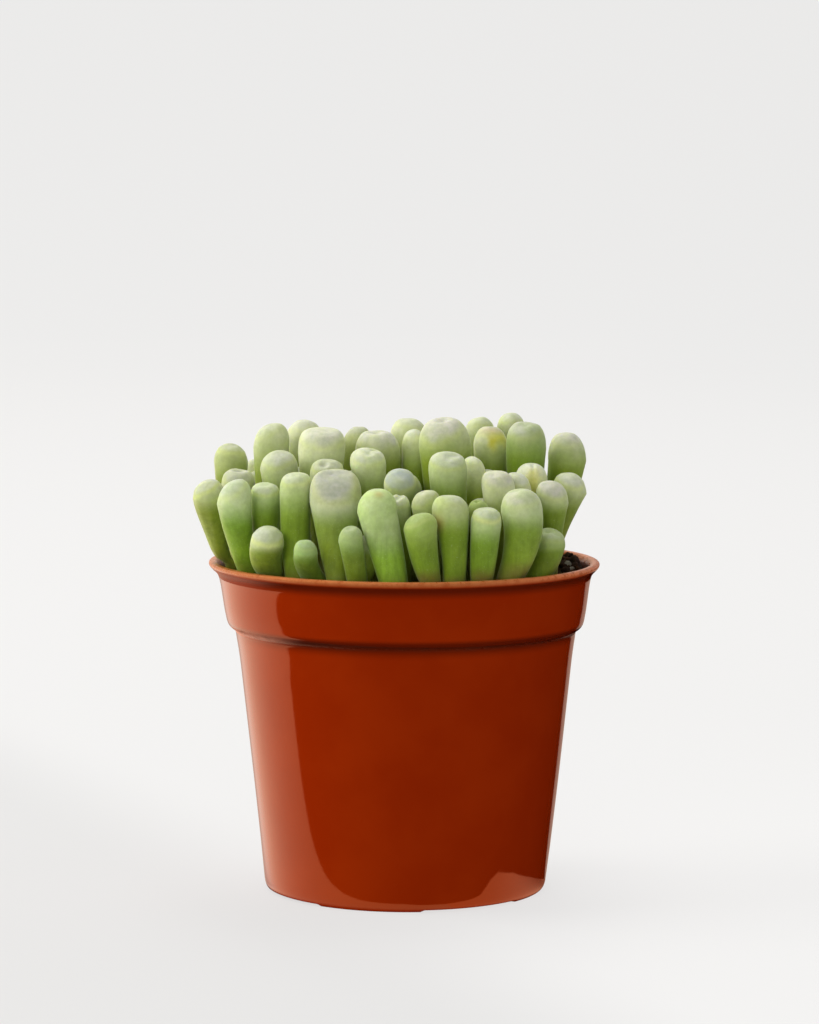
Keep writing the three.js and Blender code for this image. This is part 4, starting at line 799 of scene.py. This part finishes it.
def paper_material():
    m = Nodes("paper")
    sep = m.new("ShaderNodeSeparateXYZ")
    m.link(m.coords(), sep.inputs[0])
    b = m.new("ShaderNodeBsdfPrincipled")
    b.inputs["Base Color"].default_value = (0.145, 0.1446, 0.1434, 1)
    b.inputs["Roughness"].default_value = 0.9
    b.inputs["Specular IOR Level"].default_value = 0.1
    b.inputs["Emission Color"].default_value = (1.0, 0.995, 0.988, 1)
    # painted shadow: a slightly greyer corner in front on the left
    slant = m.math("ADD", sep.outputs["X"], m.math("MULTIPLY", sep.outputs["Y"], 0.45))
    corner_shadow = m.ramp(slant, 0.005, -0.055, 0.0, 0.075)
    glow = m.ramp(sep.outputs["Y"], PAPER_GLOW[0], PAPER_GLOW[1], PAPER_GLOW[2], PAPER_GLOW[3])
    # and painted light: a slightly lighter one on the right, thinning the pot's shadow there
    right = m.math("MULTIPLY", m.ramp(sep.outputs["X"], 0.0, 0.06, 0.0, 0.022), m.ramp(sep.outputs["Y"], 0.30, 0.05))
    glow = m.math("ADD", glow, right)
    m.link(m.math("SUBTRACT", glow, m.math("MULTIPLY", corner_shadow, m.ramp(sep.outputs["Y"], 0.40, 0.15))), b.inputs["Emission Strength"])
    m.link(b.outputs[0], m.out.inputs["Surface"])
    return m.mat


def glow_material(name, strength, colour=(1, 1, 1, 1)):
    m = Nodes(name)
    e = m.new("ShaderNodeEmission")
    e.inputs["Color"].default_value = colour
    e.inputs["Strength"].default_value = strength
    m.link(e.outputs[0], m.out.inputs["Surface"])
    return m.mat


def foot_shade(m, sep):
    """0 on the floor right round the pot's foot, 1 further out."""
    x, y = sep.outputs["X"], sep.outputs["Y"]
    r = m.math("SQRT", m.math("ADD", m.math("MULTIPLY", x, x), m.math("MULTIPLY", y, y)))
    return m.ramp(r, 0.0300, 0.0325)


def sheet_material():
    """Bright beside the pot, dimmer round behind it."""
    m = Nodes("card_sheet")
    sep = m.new("ShaderNodeSeparateXYZ")
    m.link(m.coords(), sep.inputs[0])
    along = m.math("ADD", sep.outputs["Y"], 0.013)
    away = m.math("MAXIMUM", m.math("SUBTRACT", m.math("MULTIPLY", sep.outputs["X"], -1.0), 0.030), 0.004)
    e = m.new("ShaderNodeEmission")
    turn = m.math("DIVIDE", along, away)
    m.link(m.mix(m.ramp(turn, 0.8, 2.5), (1.0, 0.70, 0.50, 1), (1.0, 0.80, 0.66, 1)), e.inputs["Color"])
    m.link(m.math("MULTIPLY", m.ramp(turn, 0.6, 4.5, 2.02, 0.69), foot_shade(m, sep)), e.inputs["Strength"])
    m.link(e.outputs[0], m.out.inputs["Surface"])
    return m.mat


def patch_material():
    """The end of the sheet in front to the right, fading away behind."""
    m = Nodes("card_patch")
    sep = m.new("ShaderNodeSeparateXYZ")
    m.link(m.coords(), sep.inputs[0])
    e = m.new("ShaderNodeEmission")
    e.inputs["Color"].default_value = (1.0, 0.44, 0.25, 1)
    m.link(m.math("MULTIPLY", m.ramp(sep.outputs["Y"], -0.024, 0.004, 2.7, 0.28), foot_shade(m, sep)), e.inputs["Strength"])
    m.link(e.outputs[0], m.out.inputs["Surface"])
    return m.mat


def only_reflected(obj):
    obj.visible_camera = False
    obj.visible_diffuse = False
    obj.visible_shadow = False
    obj.visible_transmission = False
    obj.visible_volume_scatter = False
    obj.visible_glossy = True


def arc_wall(name, from_deg, to_deg, radius, z0, z1, material):
    """A curved card. Azimuth 0 is the front (-Y), positive to the right."""
    n = max(4, int(abs(to_deg - from_deg) / 4))
    v, f = [], []
    for i in range(n + 1):
        a = math.radians(from_deg + (to_deg - from_deg) * i / n)
        for z in (z0, z1):
            v.append((radius * math.sin(a), -radius * math.cos(a), z))
    for i in range(n):
        f.append((2 * i, 2 * i + 2, 2 * i + 3, 2 * i + 1))
    o = mesh_object(name, v, f)
    o.data.materials.append(material)
    only_reflected(o)
    return o


def flat_card(name, corners, z, material):
    """A level card with the given corners, metres."""
    o = mesh_object(name, [(x, y, z) for x, y in corners], [tuple(range(len(corners)))], shade_smooth=False)
    o.data.materials.append(material)
    only_reflected(o)
    return o


def ring_material(name, x_dark, x_full, strength):
    m = Nodes(name)
    sep = m.new("ShaderNodeSeparateXYZ")
    m.link(m.coords(), sep.inputs[0])
    e = m.new("ShaderNodeEmission")
    e.inputs["Color"].default_value = (1.0, 0.52, 0.36, 1)
    m.link(m.ramp(sep.outputs["X"], x_dark, x_full, 0.0, strength), e.inputs["Strength"])
    m.link(e.outputs[0], m.out.inputs["Surface"])
    return m.mat


def ring_card(name, from_deg, to_deg, cx, r0, r1, z, material):
    """A narrow level ring close round the pot, mm except z."""
    n = max(8, int(abs(to_deg - from_deg) / 3))
    v, f = [], []
    for i in range(n + 1):
        a = math.radians(from_deg + (to_deg - from_deg) * i / n)
        for r in (r0, r1):
            v.append(((cx + r * math.sin(a)) * MM, -r * math.cos(a) * MM, z))
    for i in range(n):
        f.append((2 * i, 2 * i + 2, 2 * i + 3, 2 * i + 1))
    o = mesh_object(name, v, f, shade_smooth=False)
    o.data.materials.append(material)
    only_reflected(o)
    return o


def make_stage():
    # floor and backdrop in one sweep
    prof = [(-3.0, 0.0), (1.6, 0.0)]
    for i in range(1, 13):
        a = math.radians(90 * i / 12)
        prof.append((1.6 + 0.9 * math.sin(a), 0.9 * (1 - math.cos(a))))
    prof.append((2.5, 4.0))
    v, f = [], []
    for y, z in prof:
        v += [(-4.0, y, z), (4.0, y, z)]
    for i in range(len(prof) - 1):
        f.append((2 * i, 2 * i + 1, 2 * i + 3, 2 * i + 2))
    floor = mesh_object("floor", v, f)
    floor.data.materials.append(paper_material())
    floor.visible_glossy = False

    # plain walls on the other three sides, only for the camera
    sides = mesh_object("backdrop_sides", [(x, y, z) for z in (0.0, 4.0) for x, y in ((-3.95, 2.45), (-3.95, -2.95), (3.95, -2.95), (3.95, 2.45))],
                        [(0, 1, 5, 4), (1, 2, 6, 5), (2, 3, 7, 6)], shade_smooth=False)
    sides.data.materials.append(glow_material("paper_far", 0.84, (1.0, 0.995, 0.988, 1)))
    only_reflected(sides)
    sides.visible_camera = True
    sides.visible_glossy = False

    # a bright sheet lies under the pot: its straight front edge is close to the
    # pot's foot and it ends a little to the right, with dark round it
    sheet = sheet_material()
    wall = glow_material("card_wall", 1.0, (1.0, 0.86, 0.74, 1))
    black = glow_material("card_black", 0.0)
    flat_card("card_floor_dark", [(-1.9, -1.9), (1.9, -1.9), (1.9, 1.9), (-1.9, 1.9)], -0.0012, black)
    flat_card("card_floor_sheet", [(-1.9, 0.054), (0.0, -0.0362), (0.012, -0.0335), (0.012, 0.03), (-0.10, 1.85), (-1.9, 1.85)],
              -0.0009, sheet)
    flat_card("card_floor_patch", [(0.012, -0.0335), (0.024, -0.0308), (0.036, -0.0305), (0.043, -0.028), (0.0455, -0.018),
                                   (0.043, -0.004), (0.036, 0.009), (0.012, 0.03)], -0.0009, patch_material())
    flat_card("card_floor_limb", [(0.034, 0.008), (0.064, 0.060), (0.134, 0.190), (0.50, 0.90), (0.0, 0.90), (0.0, 0.03)], -0.0010,
              glow_material("card_limb", 0.48, (1.0, 0.70, 0.54, 1)))
    # nothing bright is seen from the undersides of the collar and of the lip
    # except round on the left, where the bright sheet shows in them a little
    ring_card("card_under_collar", -100, 175, 0.42, 37.2, 39.7, 0.0564, ring_material("card_ring_glow", -0.021, -0.031, 1.9))
    ring_card("card_under_lip", -100, 175, 0.15, 40.7, 43.0, 0.0682, ring_material("card_lip_glow", -0.025, -0.036, 0.6))
    arc_wall("card_left", -92, -185, 1.8, -0.6, 2.4, wall)
    arc_wall("card_front", -92, 175, 1.8, 0.0, 2.4, glow_material("card_dim", 0.35))
    flat_card("card_top", [(-1.9, -1.9), (1.9, -1.9), (1.9, 1.9), (-1.9, 1.9)], 2.4,
              glow_material("card_ceiling", 0.6, (1.0, 0.9, 0.8, 1)))

    def area(name, loc, target, size, power, colour):
        data = bpy.data.lights.new(name, "AREA")
        data.shape = "SQUARE"
        data.size = size
        data.energy = power
        data.color = colour
        o = bpy.data.objects.new(name, data)
        o.location = loc
        o.rotation_euler = (Vector(target) - Vector(loc)).to_track_quat("-Z", "Y").to_euler()
        o.visible_glossy = False
        bpy.context.scene.collection.objects.link(o)
        return o

    area("key", (-1.75, 0.05, 0.95), (0, 0, 0.07), 1.2, 27.0, (1.0, 0.985, 0.95))
    area("fill", (-0.75, -1.7, 0.62), (0, 0, 0.07), 1.2, 11.0, (1.0, 0.99, 0.97))
    area("top", (-0.2, 0.5, 1.8), (0, 0, 0.08), 1.2, 17.5, (1.0, 0.99, 0.98))
    world = bpy.data.worlds.new("studio")
    world.use_nodes = True
    bg = world.node_tree.nodes["Background"]
    bg.inputs["Color"].default_value = (1.0, 0.995, 0.985, 1)
    bg.inputs["Strength"].default_value = 0.33
    bpy.context.scene.world = world
    bpy.context.scene.view_settings.view_transform = "Standard"
    bpy.context.scene.view_settings.look = "None"


def make_camera():
    pitch, yaw, roll = math.radians(5.656), math.radians(0.0777), math.radians(0.257)
    fwd = Vector((math.sin(yaw) * math.cos(pitch), math.cos(yaw) * math.cos(pitch), -math.sin(pitch)))
    right = Vector((math.cos(yaw), -math.sin(yaw), 0))
    up = right.cross(fwd)
    rot = Matrix((right, up, -fwd)).transposed() @ Matrix.Rotation(roll, 3, "Z")
    data = bpy.data.cameras.new("camera")
    data.sensor_width = 36.0
    data.lens = 3843.3 / 1024 * 36.0
    data.clip_start = 0.05
    data.clip_end = 20
    cam = bpy.data.objects.new("camera", data)
    cam.matrix_world = Matrix.Translation((0, -0.8315, 0.1647)) @ rot.to_4x4()
    bpy.context.scene.collection.objects.link(cam)
    bpy.context.scene.camera = cam


make_camera()
make_stage()
make_pot()
make_peat()
make_leaves()
